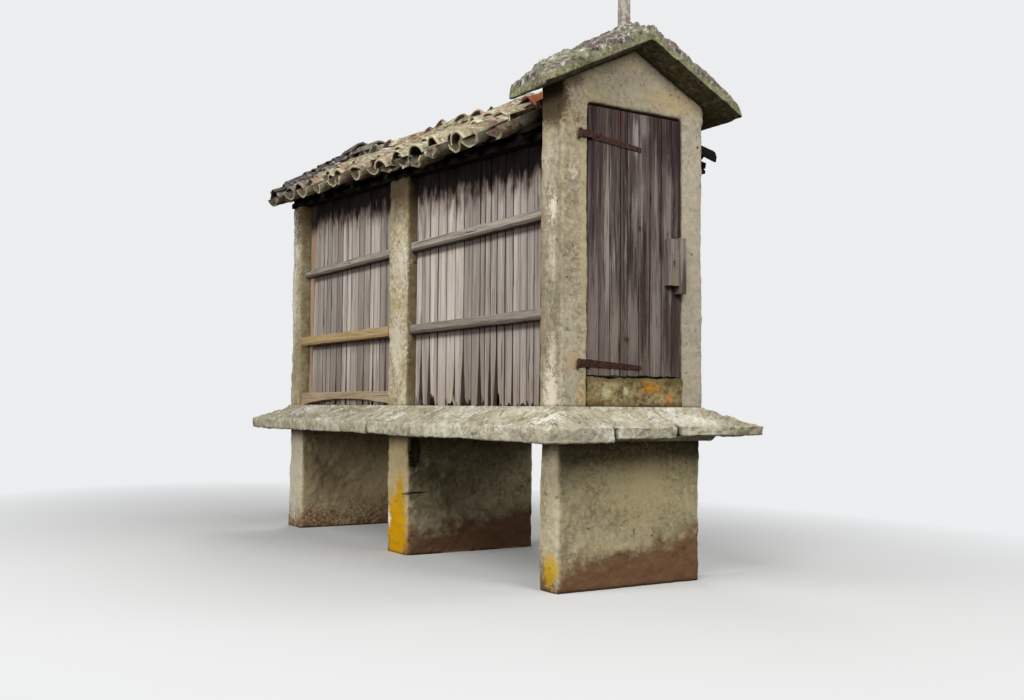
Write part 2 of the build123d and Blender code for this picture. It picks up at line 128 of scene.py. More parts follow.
def node_group(inputs, kind="ShaderNodeTree", output="NodeSocketFloat"):
    """Turns a function into a node group. It takes the named inputs, and returns its outputs by name."""
    def build(function):
        group = bpy.data.node_groups.new(function.__name__, kind)
        for label, value in inputs.items():
            socket_type = SOCKET_TYPES.get(type(value), value)
            socket = group.interface.new_socket(name=label, in_out="INPUT", socket_type=socket_type)
            if socket_type is not value:
                socket.default_value = value
        given = group.nodes.new("NodeGroupInput").outputs
        results = function(group, *(given[label] for label in inputs))
        for label in results:
            group.interface.new_socket(name=label, in_out="OUTPUT", socket_type=output)
        add_node(group, "NodeGroupOutput", results)
        return group
    return build


# Effects that several finishes share
@node_group({"Vector": ORIGIN, "Coarseness": 1.0})
def stone_grain(tree, vector, coarseness):
    """Mottling, grains, pits and their relief, in stone or lime plaster."""
    coarse = vectors(tree, "SCALE", vector, coarseness)
    mottle = noise(tree, coarse, 6.0, 6.0, 0.64)
    speck = noise(tree, coarse, 34.0, 4.0, 0.64)
    pit = between(tree, noise(tree, coarse, 24.0, 4.0, 0.6), 0.345, 0.29)
    raised = maths(tree, "MULTIPLY_ADD", speck, 0.8, mottle)
    return {
        "Mottle": between(tree, mottle, 0.36, 0.64), "Speck": between(tree, speck, 0.4, 0.62), "Pit": pit,
        "Relief": maths(tree, "SUBTRACT", raised, maths(tree, "MULTIPLY", pit, 0.6)),
    }


@node_group({"Vector": ORIGIN, "Scale": 12.0, "Cover": 0.4})
def growth(tree, vector, scale, cover):
    """Ragged crusts of lichen or moss, or a tint, that cover more or less of the piece."""
    field = noise(tree, vector, maths(tree, "MULTIPLY", scale, 0.3), 4.0, 0.6)
    crust = noise(tree, vector, maths(tree, "MULTIPLY", scale, 2.6), 6.0, 0.7)
    value = maths(tree, "MULTIPLY_ADD", maths(tree, "SUBTRACT", crust, field), 0.45, field)
    limit = between(tree, cover, 0.0, 1.0, 0.66, 0.38)
    return {"Mask": between(tree, maths(tree, "SUBTRACT", value, limit), -0.02, 0.045)}


@node_group({"Vector": ORIGIN, "Centre": ORIGIN, "Size": (0.1, 0.1, 0.1), "Rag": 0.5, "Stretch": EVEN})
def patch(tree, vector, centre, size, rag, stretch):
    """One ragged patch at a stated place."""
    reach = vectors(tree, "LENGTH", vectors(tree, "DIVIDE", vectors(tree, "SUBTRACT", vector, centre), size))
    edge = maths(tree, "SUBTRACT", noise(tree, vectors(tree, "MULTIPLY", vector, stretch), 40.0, 8.0, 0.85), 0.5)
    spread = maths(tree, "MULTIPLY_ADD", edge, maths(tree, "MULTIPLY", rag, 9.0), reach)
    return {"Mask": between(tree, spread, 1.2, 0.8)}


@node_group({"Vector": ORIGIN, "Start": 0.2, "Full": 0.0, "Unevenness": 0.1, "Climb": ORIGIN, "Stretch": EVEN})
def level_stain_and_shade(tree, vector, start, full, unevenness, climb, stretch):
    """A mark that begins at one level and is full at another, with an uneven edge, and may climb sideways: a real
    stain, and in some finishes painted shade.
    """
    height = add_node(tree, "ShaderNodeSeparateXYZ", {0: vector}).outputs["Z"]
    level = maths(tree, "SUBTRACT", height, vectors(tree, "DOT_PRODUCT", vector, climb))
    drift = maths(tree, "SUBTRACT", noise(tree, vectors(tree, "MULTIPLY", vector, stretch), 4.5, 6.0, 0.65), 0.5)
    uneven = maths(tree, "MULTIPLY_ADD", drift, maths(tree, "MULTIPLY", unevenness, 2.0), level)
    return {"Mask": between(tree, uneven, start, full)}


@node_group({"Vector": ORIGIN, "Stretch": (1, 1, 0.04), "Tone": 0.0})
def wood_grain(tree, vector, stretch, tone):
    """Streaks, fine fibres, splits and their relief in weathered timber."""
    shift = vectors(tree, "SCALE", (31.0, 17.0, 23.0), tone)
    drawn = vectors(tree, "ADD", vectors(tree, "MULTIPLY", vector, stretch), shift)
    streak = noise(tree, drawn, 22.0, 5.0, 0.66, 0.4)
    fibre = noise(tree, drawn, 110.0, 4.0, 0.66)
    split = between(tree, noise(tree, drawn, 48.0, 3.0, 0.55, 0.8), 0.36, 0.31)
    return {
        "Streak": between(tree, streak, 0.36, 0.64), "Fibre": between(tree, fibre, 0.38, 0.62), "Split": split,
        "Relief": maths(tree, "SUBTRACT", maths(tree, "MULTIPLY_ADD", fibre, 0.6, streak), split),
    }


# Finishes
def start_finish(name, roughness=0.9):
    """A new material, with its tree, its shader and the place on the piece."""
    material = bpy.data.materials.new(name)
    material.use_nodes = True
    tree = material.node_tree
    shader = tree.nodes["Principled BSDF"]
    shader.inputs["Roughness"].default_value = roughness
    shader.inputs["Specular IOR Level"].default_value = 0.15
    return material, tree, shader, tree.nodes.new("ShaderNodeTexCoord").outputs["Object"]


def end_finish(material, shader, tint, height, distance):
    """Joins up a finish's colour and its relief."""
    tree = material.node_tree
    bump = add_node(tree, "ShaderNodeBump", {"Height": height, "Distance": distance, "Strength": 1.0})
    tree.links.new(bump.outputs[0], shader.inputs["Normal"])
    tree.links.new(tint, shader.inputs["Base Color"])
    return material


def reading(tree, name):
    """A value that the piece's mesh carries."""
    return add_node(tree, "ShaderNodeAttribute", attribute_name=name).outputs["Fac"]


def effect(tree, group, inputs):
    return add_node(tree, "ShaderNodeGroup", inputs, node_tree=group).outputs


def lay_marks(tree, place, tint, stains_and_shade=(), growths=(), patches=(), stretch=EVEN):
    """Level marks of stain and painted shade, crusts and single patches, one over another. A mark is a colour, a
    strength and its inputs.
    """
    for group, marks, *labels in (
        (level_stain_and_shade, stains_and_shade, "Start", "Full", "Unevenness", "Climb", "Stretch"), (growth, growths, "Scale", "Cover"),
        (patch, [(*mark, stretch) for mark in patches], "Rag", "Centre", "Size", "Stretch"),
    ):
        for colour, strength, *values in marks:
            mask = effect(tree, group, {"Vector": place, **dict(zip(labels, values))})["Mask"]
            tint = over(tree, mask, tint, colour, strength)
    return tint


def on_face(axis, level, usual_depth, rows):
    """Patches on a flat face: colour, strength, raggedness, place and size there, and depth if it isn't usual."""
    patches = []
    for colour, strength, rag, along, height, width, tall, *depth in rows:
        centre, size = [along, height], [width, tall]
        centre.insert(axis, level)
        size.insert(axis, depth[0] if depth else usual_depth)
        patches.append((colour, strength, rag, centre, size))
    return patches


def stone_finish(name, body, pale, dark, growths=(), stains_and_shade=(), patches=(), coarseness=1.0, relief=0.006, readings=(),
                 contrast=1.0, crusts=()):
    """Stone or plaster, mottled, specked and pitted, with marks, and crusts that keep to its upper side."""
    material, tree, shader, place = start_finish(name)
    grain = effect(tree, stone_grain, {"Vector": place, "Coarseness": coarseness})
    tint = over(tree, grain["Mottle"], dark, body)
    tint = over(tree, grain["Speck"], tint, pale, 0.7 * contrast)
    tint = lay_marks(tree, place, tint, growths=growths)
    for colour, strength, label in readings:
        tint = over(tree, reading(tree, label), tint, colour, strength)
    tint = lay_marks(tree, place, tint, stains_and_shade, (), patches)
    if crusts:
        crusted = lay_marks(tree, place, tint, growths=crusts)
        tint = over(tree, between(tree, reading(tree, "up"), 0.0, 0.6, 0.3, 1.0), tint, crusted)
    tint = over(tree, grain["Pit"], tint, dark, 0.6 * contrast, "MULTIPLY")
    return end_finish(material, shader, tint, grain["Relief"], relief)


def timber_finish(name, dark, body, pale, stretch, stains_and_shade=(), streaks=(), patches=(), relief=0.003, split_shade=0.8,
                  spread=0.25, fibre=0.6, rim=0.0):
    """Weathered timber, streaked along its grain, each board or bar a little lighter or darker."""
    material, tree, shader, place = start_finish(name, 0.85)
    tone = reading(tree, "tone")
    grain = effect(tree, wood_grain, {"Vector": place, "Stretch": stretch, "Tone": tone})
    tint = over(tree, grain["Streak"], dark, body)
    tint = over(tree, grain["Fibre"], tint, pale, fibre)
    lighter = between(tree, tone, 0.0, 1.0, 1.0 - spread, 1.0 + spread * 0.6)
    grey = add_node(tree, "ShaderNodeCombineColor", {0: lighter, 1: lighter, 2: lighter}).outputs[0]
    tint = over(tree, 1.0, tint, grey, mode="MULTIPLY")
    tint = lay_marks(tree, vectors(tree, "MULTIPLY", place, stretch), tint, growths=streaks)
    tint = lay_marks(tree, place, tint, stains_and_shade, (), patches, tuple(3 * share for share in stretch))
    tint = over(tree, grain["Split"], tint, (38, 28, 24), split_shade)
    # Darker along each board's sides: painted shade between the boards, with some dirt
    tint = over(tree, reading(tree, "rim"), tint, (44, 34, 30), rim)
    return end_finish(material, shader, tint, grain["Relief"], relief)


def make_rust():
    material, tree, shader, place = start_finish("rusty_iron", 0.75)
    bloom = noise(tree, place, 60.0, 6.0, 0.7)
    tint = over(tree, between(tree, bloom, 0.35, 0.65), (44, 29, 26), (80, 54, 46))
    scale = between(tree, noise(tree, place, 210.0), 0.55, 0.7, 0.0, 0.5)
    tree.links.new(between(tree, bloom, 0.3, 0.7, 0.35, 0.0), shader.inputs["Metallic"])
    return end_finish(material, shader, over(tree, scale, tint, (30, 22, 20)), bloom, 0.0015)


def make_tile_clay():
    """Old canal tiles under lichen and moss. A tile may be fresh, bleached, dusky, mossy or in painted shade, as its
    values say; hollow sides and mossy undersides carry painted shade too.
    """
    material, tree, shader, place = start_finish("roof_tile")
    grain = effect(tree, stone_grain, {"Vector": place, "Coarseness": 1.6})
    tint = over(tree, grain["Mottle"], (126, 108, 84), (184, 162, 134))
    tint = over(tree, between(tree, reading(tree, "tone"), 0.6, 1.0, 0.0, 0.55), tint, (200, 150, 126))
    tint = lay_marks(tree, place, tint, growths=[
        ((150, 158, 116), 0.8, 9.0, 0.5), ((220, 214, 186), 0.8, 18.0, 0.46), ((62, 52, 38), 0.85, 30.0, 0.38),
        ((240, 236, 220), 0.85, 60.0, 0.36), ((40, 32, 25), 0.85, 70.0, 0.38),
    ])
    dusky = lay_marks(tree, place, (98, 88, 88), growths=[
        ((104, 110, 78), 0.8, 18.0, 0.4), ((46, 38, 42), 0.9, 90.0, 0.48), ((204, 198, 192), 0.9, 100.0, 0.38),
    ])
    # Hollow sides are darkened as painted shade; the channels' mossy undersides are darkened further as painted shade
    for label, strength, colour in (
        ("foot", 0.7, (228, 218, 182)), ("moss", 0.85, (44, 42, 20)), ("dusk", 1.0, dusky),
        ("fresh", 1.0, (132, 66, 42)),
        ("bleached", 1.0, (232, 230, 222)), ("hollow", 0.8, (52, 38, 30)), ("painted_shade", 1.0, (24, 18, 16)),
    ):
        tint = over(tree, reading(tree, label), tint, colour, strength)
    return end_finish(material, shader, tint, grain["Relief"], 0.008)


# Grain along each axis, and how the edges of stain and painted shade marks are drawn out
UPRIGHT = (1.0, 1.0, 0.035)
LENGTHWISE = (1.0, 0.035, 1.0)
CROSSWISE = (0.035, 1.0, 1.0)
STREAKED = (9, 9, 0.5)
SOAKED_AND_SHADED = (3, 3, 1.2)
ALONG_EAVE = (0.0, 0.05, 0.0)

pier_plaster = stone_finish(
    "pier_plaster", (172, 158, 124), (196, 184, 154), (136, 121, 90),
    growths=[
        ((182, 168, 128), 0.5, 5.0, 0.5), ((132, 121, 90), 0.5, 9.0, 0.4), ((112, 104, 80), 0.4, 22.0, 0.26),
    ],
    stains_and_shade=[
        ((112, 78, 54), 0.9, 0.27, 0.17, 0.2, (0.19, 0.0, 0.0), (2.5, 2.5, 2.5)),
        # Darker at the top, under the platform: painted shade
        ((70, 57, 36), 0.75, 0.68, 0.84, 0.14),
    ],
    readings=[((196, 186, 156), 0.25, "arris")],
    patches=[
        ((200, 183, 134), 0.6, 1.3, (0.05, -2.0, 0.6), (0.27, 0.06, 0.16)),
        ((190, 168, 130), 0.8, 0.8, (0.0, 1.745, 0.42), (0.6, 0.05, 0.36)),
        *on_face(0, LEFT, 0.05, [
            ((204, 192, 164), 0.5, 0.5, -2.0, 0.45, 0.12, 0.42, 0.02),
            ((208, 198, 176), 0.8, 0.4, 1.9, 0.5, 0.2, 0.42, 0.02),
            ((186, 165, 120), 0.6, 0.5, -0.04, 0.5, 0.2, 0.4, 0.02),
            ((196, 146, 8), 1.0, 0.28, -0.035, 0.17, 0.15, 0.25),
            ((190, 144, 20), 0.9, 0.4, -0.09, 0.42, 0.05, 0.13, 0.04),
            ((226, 220, 206), 0.9, 0.3, 0.1, 0.24, 0.04, 0.07),
            ((196, 156, 26), 0.85, 0.35, -1.93, 0.12, 0.05, 0.09),
            ((192, 156, 36), 0.7, 0.4, -1.98, 0.13, 0.02, 0.06),
        ]),
        # Dark in the middle pier's broken corner: painted shade in the recess
        ((40, 30, 20), 0.95, 0.35, (-0.455, -0.2, 0.71), (0.04, 0.06, 0.13)),
        ((48, 38, 26), 0.9, 0.1, (-0.45, -0.195, 0.425), (0.09, 0.05, 0.007)),
        ((56, 44, 30), 0.8, 0.1, (LEFT, -0.16, 0.415), (0.04, 0.05, 0.006)),
    ],
)
platform_stone = stone_finish(
    "platform_stone", (172, 164, 140), (198, 191, 170), (130, 121, 94), contrast=0.8, relief=0.014, coarseness=1.1,
    growths=[
        ((200, 197, 176), 0.7, 5.0, 0.46), ((124, 118, 84), 0.6, 8.0, 0.38), ((224, 220, 208), 0.8, 15.0, 0.38),
        ((88, 80, 56), 0.75, 26.0, 0.3), ((232, 228, 216), 0.7, 60.0, 0.34), ((52, 44, 30), 0.85, 60.0, 0.26),
    ],
    readings=[((206, 198, 174), 0.3, "arris"), ((34, 27, 18), 0.95, "joint")],
)
frame_stone = stone_finish(
    "frame_stone", (145, 133, 108), (174, 164, 142), (112, 100, 78), relief=0.005,
    growths=[
        ((164, 144, 100), 0.5, 5.0, 0.42), ((128, 126, 106), 0.5, 8.0, 0.42), ((198, 192, 174), 0.55, 26.0, 0.24),
        ((96, 88, 66), 0.5, 14.0, 0.24),
    ],
    # Darker towards the top, under the covers: painted shade
    stains_and_shade=[((112, 99, 74), 0.1, 2.66, 3.0, 0.2)],
    readings=[((182, 168, 134), 0.1, "arris")],
    patches=[
        *on_face(0, LEFT, 0.03, [
            ((226, 218, 202), 0.7, 1.0, -1.95, 2.14, 0.035, 0.07),
            ((220, 212, 196), 0.4, 1.2, -1.96, 1.88, 0.04, 0.13),
            ((216, 206, 186), 0.55, 1.1, -1.95, 1.32, 0.035, 0.09),
            ((226, 216, 196), 0.7, 0.9, -1.93, 1.1, 0.07, 0.11),
            ((212, 204, 186), 0.25, 1.2, -1.9, 2.42, 0.06, 0.24),
            ((128, 110, 86), 0.5, 0.4, -1.83, 1.7, 0.03, 0.6), ((118, 108, 82), 0.5, 0.4, -2.0, 1.7, 0.035, 0.6),
            # Dark at the top of the jamb's side, under the left cover: damp staining with painted shade
            ((64, 52, 34), 0.85, 0.3, -1.92, 2.76, 0.17, 0.16, 0.05),
        ]),
        *on_face(1, FRONT, 0.05, [
            # Dark at the top left of the front, under the left cover: damp staining with painted shade
            ((84, 68, 44), 0.7, 0.4, -0.47, 2.86, 0.1, 0.05, 0.04),
            ((170, 124, 62), 0.6, 0.8, -0.43, 1.27, 0.05, 0.05),
            ((166, 122, 46), 0.7, 0.7, -0.385, 1.09, 0.025, 0.07),
            ((178, 164, 126), 0.5, 0.6, -0.365, 1.8, 0.03, 0.8),
            ((176, 168, 154), 0.55, 0.8, 0.44, 1.7, 0.12, 1.3), ((160, 152, 134), 0.5, 0.9, 0.05, 2.86, 0.3, 0.12),
            ((178, 152, 104), 0.5, 1.0, 0.3, 2.84, 0.2, 0.06), ((196, 186, 162), 0.4, 0.9, -0.45, 1.3, 0.08, 0.3),
            ((52, 44, 34), 0.9, 0.1, 0.475, 2.59, 0.009, 0.009),
        ]),
    ],
)
cover_stone = stone_finish(
    "cover_stone", (116, 113, 84), (148, 146, 114), (78, 72, 52), relief=0.014, coarseness=1.4,
    growths=[((142, 146, 106), 0.6, 12.0, 0.42), ((64, 56, 44), 0.7, 24.0, 0.34)],
    # The darker undersides are painted shade
    readings=[((104, 94, 90), 0.9, "up"), ((84, 72, 48), 0.85, "under"), ((120, 116, 88), 0.2, "arris")],
    crusts=[
        ((132, 136, 104), 0.8, 14.0, 0.42), ((44, 36, 40), 0.9, 80.0, 0.46), ((206, 200, 194), 0.9, 90.0, 0.4),
    ],
)
threshold_stone = stone_finish(
    "threshold_stone", (136, 119, 82), (164, 150, 112), (84, 68, 42), relief=0.012, coarseness=1.3,
    growths=[((106, 92, 56), 0.7, 12.0, 0.45), ((170, 126, 60), 0.6, 20.0, 0.2)],
    stains_and_shade=[((70, 62, 36), 0.8, 1.15, 1.195, 0.06), ((66, 54, 34), 0.7, 1.06, 1.03, 0.05)],
    patches=on_face(1, FRONT, 0.05, [
        ((180, 180, 138), 0.8, 0.5, -0.2, 1.11, 0.034, 0.036),
        ((180, 180, 138), 0.75, 0.5, -0.06, 1.115, 0.02, 0.022),
        ((186, 126, 34), 0.8, 1.0, 0.12, 1.135, 0.055, 0.03),
        ((186, 116, 54), 0.65, 0.9, 0.26, 1.075, 0.024, 0.03),
    ]),
)
post_stone = stone_finish(
    "post_stone", (166, 151, 120), (194, 183, 156), (128, 113, 84), relief=0.007,
    growths=[((158, 142, 90), 0.5, 8.0, 0.4), ((204, 200, 184), 0.65, 20.0, 0.34)],
    # Darker at the top under the eaves, climbing with the roof: painted shade
    stains_and_shade=[((66, 52, 34), 0.88, 2.24, 2.5, 0.14, (0.0, 0.0456, 0.0))],
    # The faces towards the front, the reveals, are darker: partly dirt, partly painted shade
    readings=[((88, 75, 50), 0.75, "front"), ((196, 178, 134), 0.2, "arris")],
    patches=[
        *on_face(0, LEFT, 0.03, [
            ((220, 216, 206), 0.55, 1.2, 1.98, 1.98, 0.06, 0.6),
            ((216, 208, 190), 0.6, 1.1, -0.03, 1.45, 0.09, 0.2),
            ((214, 206, 188), 0.5, 1.2, -0.02, 2.02, 0.1, 0.16), ((122, 112, 84), 0.5, 0.5, 1.9, 1.35, 0.12, 0.3),
        ]),
        ((80, 78, 52), 0.35, 0.5, (-0.475, 1.83, 2.15), (0.05, 0.05, 0.4)),
    ],
)
cross_stone = stone_finish("cross_stone", (150, 144, 130), (172, 168, 156), (112, 104, 92), relief=0.003)
aged_boards = timber_finish(
    "aged_boards", (132, 119, 110), (182, 172, 162), (212, 204, 196), UPRIGHT, relief=0.004, spread=0.42, rim=0.65,
    fibre=0.3,
    stains_and_shade=[
        ((124, 104, 86), 0.4, 1.4, 1.02, 0.3, ORIGIN, SOAKED_AND_SHADED),
        # Dark towards the eaves: partly wood that the rain leaves unbleached, partly painted shade of the eaves
        ((84, 62, 54), 0.8, 2.33, 2.5, 0.25, ALONG_EAVE, SOAKED_AND_SHADED),
        ((18, 12, 11), 0.98, 2.405, 2.515, 0.22, ALONG_EAVE, SOAKED_AND_SHADED),
    ],
    streaks=[((112, 98, 88), 0.4, 9.0, 0.4), ((206, 200, 194), 0.45, 12.0, 0.3), ((66, 54, 46), 0.6, 22.0, 0.2)],
    patches=[
        # Dark bands along the rails' lower edges: painted shadows of the rails
        ((54, 43, 38), 0.75, 0.03, (0, 0, 2.103), (50, 50, 0.05)),
        ((54, 43, 38), 0.75, 0.03, (0, 0, 1.53), (50, 50, 0.05)),
    ],
)
aged_rail = timber_finish(
    "aged_rail", (108, 100, 90), (154, 145, 133), (188, 178, 166), LENGTHWISE,
    stains_and_shade=[((70, 60, 52), 0.3, 1.95, 1.7, 0.02)],
    streaks=[((118, 118, 96), 0.5, 10.0, 0.4), ((70, 60, 50), 0.6, 20.0, 0.3)],
    patches=[
        # Darker along the rails' lower edges: painted shade
        ((58, 46, 38), 0.7, 0.02, (0, 0, 2.096), (50, 50, 0.018)),
        ((58, 46, 38), 0.7, 0.02, (0, 0, 1.523), (50, 50, 0.016)),
    ],
)
aged_rail_across = timber_finish("aged_rail_across", (76, 67, 57), (116, 106, 92), (148, 137, 120), CROSSWISE)
new_timber = timber_finish(
    "new_timber", (146, 120, 80), (174, 150, 106), (192, 172, 132), LENGTHWISE, split_shade=0.3,
    patches=[
        ((160, 106, 66), 0.7, 0.3, (-0.52, 0.62, 1.6), (0.05, 0.06, 0.02)),
        # Darker along the rail's lower edge: painted shade
        ((120, 92, 60), 0.6, 0.02, (0, 0, 1.524), (50, 50, 0.014)),
    ],
)
sill_timber = timber_finish(
    "sill_timber", (126, 106, 84), (166, 146, 118), (186, 168, 142), LENGTHWISE, split_shade=0.4,
)
strip_timber = timber_finish(
    "strip_timber", (112, 80, 58), (158, 124, 96), (196, 172, 150), UPRIGHT, split_shade=0.5,
    # Dark under the eaves: partly unbleached wood, partly painted shade
    stains_and_shade=[((24, 16, 14), 0.95, 2.36, 2.46, 0.1, ALONG_EAVE, SOAKED_AND_SHADED)],
)
door_wood = timber_finish(
    "door_wood", (44, 33, 34), (84, 71, 66), (134, 122, 113), UPRIGHT, fibre=0.5, relief=0.004, rim=0.7,
    stains_and_shade=[
        ((118, 106, 98), 0.4, 1.75, 1.3, 0.5, ORIGIN, STREAKED),
        ((46, 33, 34), 0.5, 2.2, 2.6, 0.4, ORIGIN, STREAKED),
    ],
    streaks=[
        ((142, 131, 121), 0.6, 13.0, 0.34), ((32, 23, 24), 0.85, 15.0, 0.42), ((160, 150, 140), 0.6, 34.0, 0.26),
        ((28, 20, 20), 0.75, 40.0, 0.32),
    ],
    patches=on_face(1, LEAF, 0.05, [
        ((50, 38, 42), 0.7, 1.0, -0.29, 2.3, 0.03, 0.4), ((46, 34, 38), 0.6, 1.2, 0.25, 2.58, 0.1, 0.14),
        ((54, 39, 31), 0.8, 0.8, 0.07, 1.6, 0.028, 0.38), ((58, 41, 36), 0.7, 1.0, 0.29, 1.42, 0.06, 0.22),
        ((128, 116, 112), 0.65, 1.0, -0.29, 1.5, 0.032, 0.24),
        ((130, 116, 108), 0.6, 1.0, -0.135, 1.46, 0.024, 0.2),
        ((132, 120, 112), 0.6, 1.0, -0.01, 1.48, 0.045, 0.2),
        ((134, 122, 116), 0.65, 1.0, 0.165, 1.5, 0.032, 0.26), ((152, 144, 142), 0.75, 1.0, 0.012, 2.6, 0.02, 0.1),
        ((138, 130, 126), 0.6, 1.2, 0.08, 2.67, 0.028, 0.07),
        ((140, 130, 124), 0.6, 0.5, 0.163, 2.25, 0.008, 0.32), ((138, 127, 118), 0.6, 1.0, 0.268, 2.2, 0.022, 0.2),
        ((136, 126, 118), 0.55, 1.0, 0.012, 2.12, 0.022, 0.14),
        ((128, 118, 112), 0.5, 1.0, 0.155, 1.9, 0.035, 0.16), ((88, 44, 33), 0.7, 0.8, -0.105, 2.69, 0.02, 0.024),
        ((52, 34, 26), 0.7, 0.6, 0.045, 2.06, 0.016, 0.02), ((48, 34, 28), 0.7, 0.7, -0.05, 1.41, 0.02, 0.016),
    ]),
)
lock_wood = timber_finish(
    "lock_wood", (64, 51, 45), (114, 102, 93), (166, 155, 145), UPRIGHT,
    patches=[
        ((58, 47, 42), 0.8, 0.3, (0.345, -2.05, 1.72), (0.035, 0.06, 0.16)),
        ((128, 118, 84), 0.5, 0.5, (0.27, -2.08, 1.78), (0.03, 0.03, 0.05)),
    ],
)
# Nearly black: painted shade for the roof's timbers, which lie in shade under the tiles
roof_timber, long_roof_timber = (
    timber_finish(name, (16, 12, 10), (26, 20, 17), (36, 28, 24), stretch)
    for name, stretch in (("roof_timber", CROSSWISE), ("long_roof_timber", LENGTHWISE))
)
rusty_iron = make_rust()
roof_tile = make_tile_clay()


# Meshes
def lattice_noise(points, size, seed):
    """Smooth random values from -1 to 1 at the points, which change over about this size."""
    cells = points / size + seed * 7.13
    base = np.floor(cells).astype(np.int64)
    part = cells - base
    part = part * part * (3 - 2 * part)
    total = np.zeros(len(points))
    for corner in np.ndindex(2, 2, 2):
        knot = base + corner
        mixed = knot[:, 0] * 73856093 ^ knot[:, 1] * 19349663 ^ knot[:, 2] * 83492791 ^ seed * 26544357
        mixed = (mixed ^ (mixed >> 13)) * 1274126177
        value = ((mixed ^ (mixed >> 16)) & 0xFFFF) / 32767.5 - 1
        total += value * np.prod(np.where(corner, part, 1 - part), axis=1)
    return total


def rough_noise(points, size, seed, layers=3):
    """Lattice noise in layers, each half the size and half the height of the last."""
    return sum(lattice_noise(points, size / 2 ** layer, seed + layer) / 2 ** layer for layer in range(layers))


def ramp(values, start, full):
    """0 up to the start, 1 from where it is full, and even between them."""
    return np.clip((values - start) / (full - start), 0, 1)


def read_vectors(mesh, name="co"):
    """The points of a mesh, or their normals."""
    values = np.empty(len(mesh.vertices) * 3, np.float32)
    mesh.vertices.foreach_get(name, values)
    return values.reshape(-1, 3).astype(float)


def write_points(mesh, points):
    mesh.vertices.foreach_set("co", points.astype(np.float32).ravel())
    mesh.update()


def write_values(mesh, name, values):
    attribute = mesh.attributes.new(name, "FLOAT", "POINT")
    attribute.data.foreach_set("value", np.asarray(values, np.float32))


def new_piece(name, mesh):
    piece = bpy.data.objects.new(name, mesh)
    scene.collection.objects.link(piece)
    return piece


def settle(piece, body, nodes=(), material=None):
    """The last step for a piece: its body, the solids that it stands for and its finish."""
    if material:
        piece.data.materials.clear()
        piece.data.materials.append(material)
    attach(piece, body)
    if nodes:
        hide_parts(*nodes)


def solid_shape(*nodes):
    """The shape of one solid node, or more, with its corners joined and its flat faces whole."""
    shape = bmesh.new()
    for node in nodes:
        shape.from_mesh(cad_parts[node].data)
    bmesh.ops.remove_doubles(shape, verts=shape.verts, dist=1e-5)
    bmesh.ops.dissolve_limit(shape, angle_limit=math.radians(0.5), verts=shape.verts, edges=shape.edges)
    return shape


def cut(shape, place, normal, **cleared):
    """Cuts a shape by a plane. Where a side of it is cleared away, the hole is closed."""
    whole = shape.verts[:] + shape.edges[:] + shape.faces[:]
    bmesh.ops.bisect_plane(shape, geom=whole, dist=1e-6, plane_co=place, plane_no=normal, **cleared)
    if cleared:
        bmesh.ops.holes_fill(shape, edges=[edge for edge in shape.edges if edge.is_boundary])


def end_shape(shape, name):
    """Ends a shape as a mesh."""
    mesh = bpy.data.meshes.new(name)
    shape.to_mesh(mesh)
    shape.free()
    return mesh


def close_sheets(shape, front, back, name):
    """A pattern piece of two like sheets of points, closed between their rims."""
    rows, columns = len(front) - 1, len(front[0]) - 1
    for row in range(rows):
        for column in range(columns):
            for low, high in ((front[row], front[row + 1]), (back[row], back[row + 1])):
                shape.faces.new((low[column], low[column + 1], high[column + 1], high[column]))
        for column in (0, columns):
            shape.faces.new((front[row][column], back[row][column], back[row + 1][column], front[row + 1][column]))
    for row in (0, rows):
        for column in range(columns):
            shape.faces.new((front[row][column], front[row][column + 1], back[row][column + 1], back[row][column]))
    bmesh.ops.recalc_face_normals(shape, faces=shape.faces)
    return bpy.data.objects.new(name, end_shape(shape, name))


def apply_modifiers(piece):
    """Puts the piece's modifiers into its mesh."""
    depsgraph = bpy.context.evaluated_depsgraph_get()
    mesh = bpy.data.meshes.new_from_object(piece.evaluated_get(depsgraph))
    piece.modifiers.clear()
    piece.data = mesh
    return piece


def neighbour_mean(points, ends, count):
    """The mean of each point's neighbours."""
    first, second = ends.T
    total = [
        np.bincount(first, points[second, axis], len(points)) + np.bincount(second, points[first, axis], len(points))
        for axis in range(3)
    ]
    return np.stack(total, axis=1) / count[:, None]


# Stones
CONTACT_LAP = 0.002
COVER_SOFFIT = 3.1055
COVER_SLOPE = 0.5
FRONT_NODES = ("front_left_jamb", "front_right_jamb", "gable_stone")
SLAB_JOINTS_X = (-0.327, 0.123)
SLAB_JOINT_Y = -0.04


def outside(points, width, length):
    """How far the points lie outside a rectangle of this half width and half length round the middle."""
    return np.maximum(np.abs(points[:, 0]) - width, np.abs(points[:, 1]) - length)


def slab_joint_share(points):
    """How open the joints between two slabs are, from 0 to 1: they are filled but for the platform's rim."""
    gaps = [np.abs(points[:, 0] - place) for place in SLAB_JOINTS_X] + [np.abs(points[:, 1] - SLAB_JOINT_Y)]
    return ramp(np.min(gaps, axis=0), 0.0176, 0.0066) * np.clip(0.15 + outside(points, 0.71, 2.22) / 0.04, 0.15, 1)


def crust_share(points):
    """The crust on the cover slabs comes down over the upper part of their edges, from 0 to 1."""
    over_soffit = points[:, 2] - COVER_SOFFIT + COVER_SLOPE * np.abs(points[:, 0])
    return ramp(over_soffit + 0.012 * rough_noise(points, 0.05, 47, 3), 0.055, 0.075)


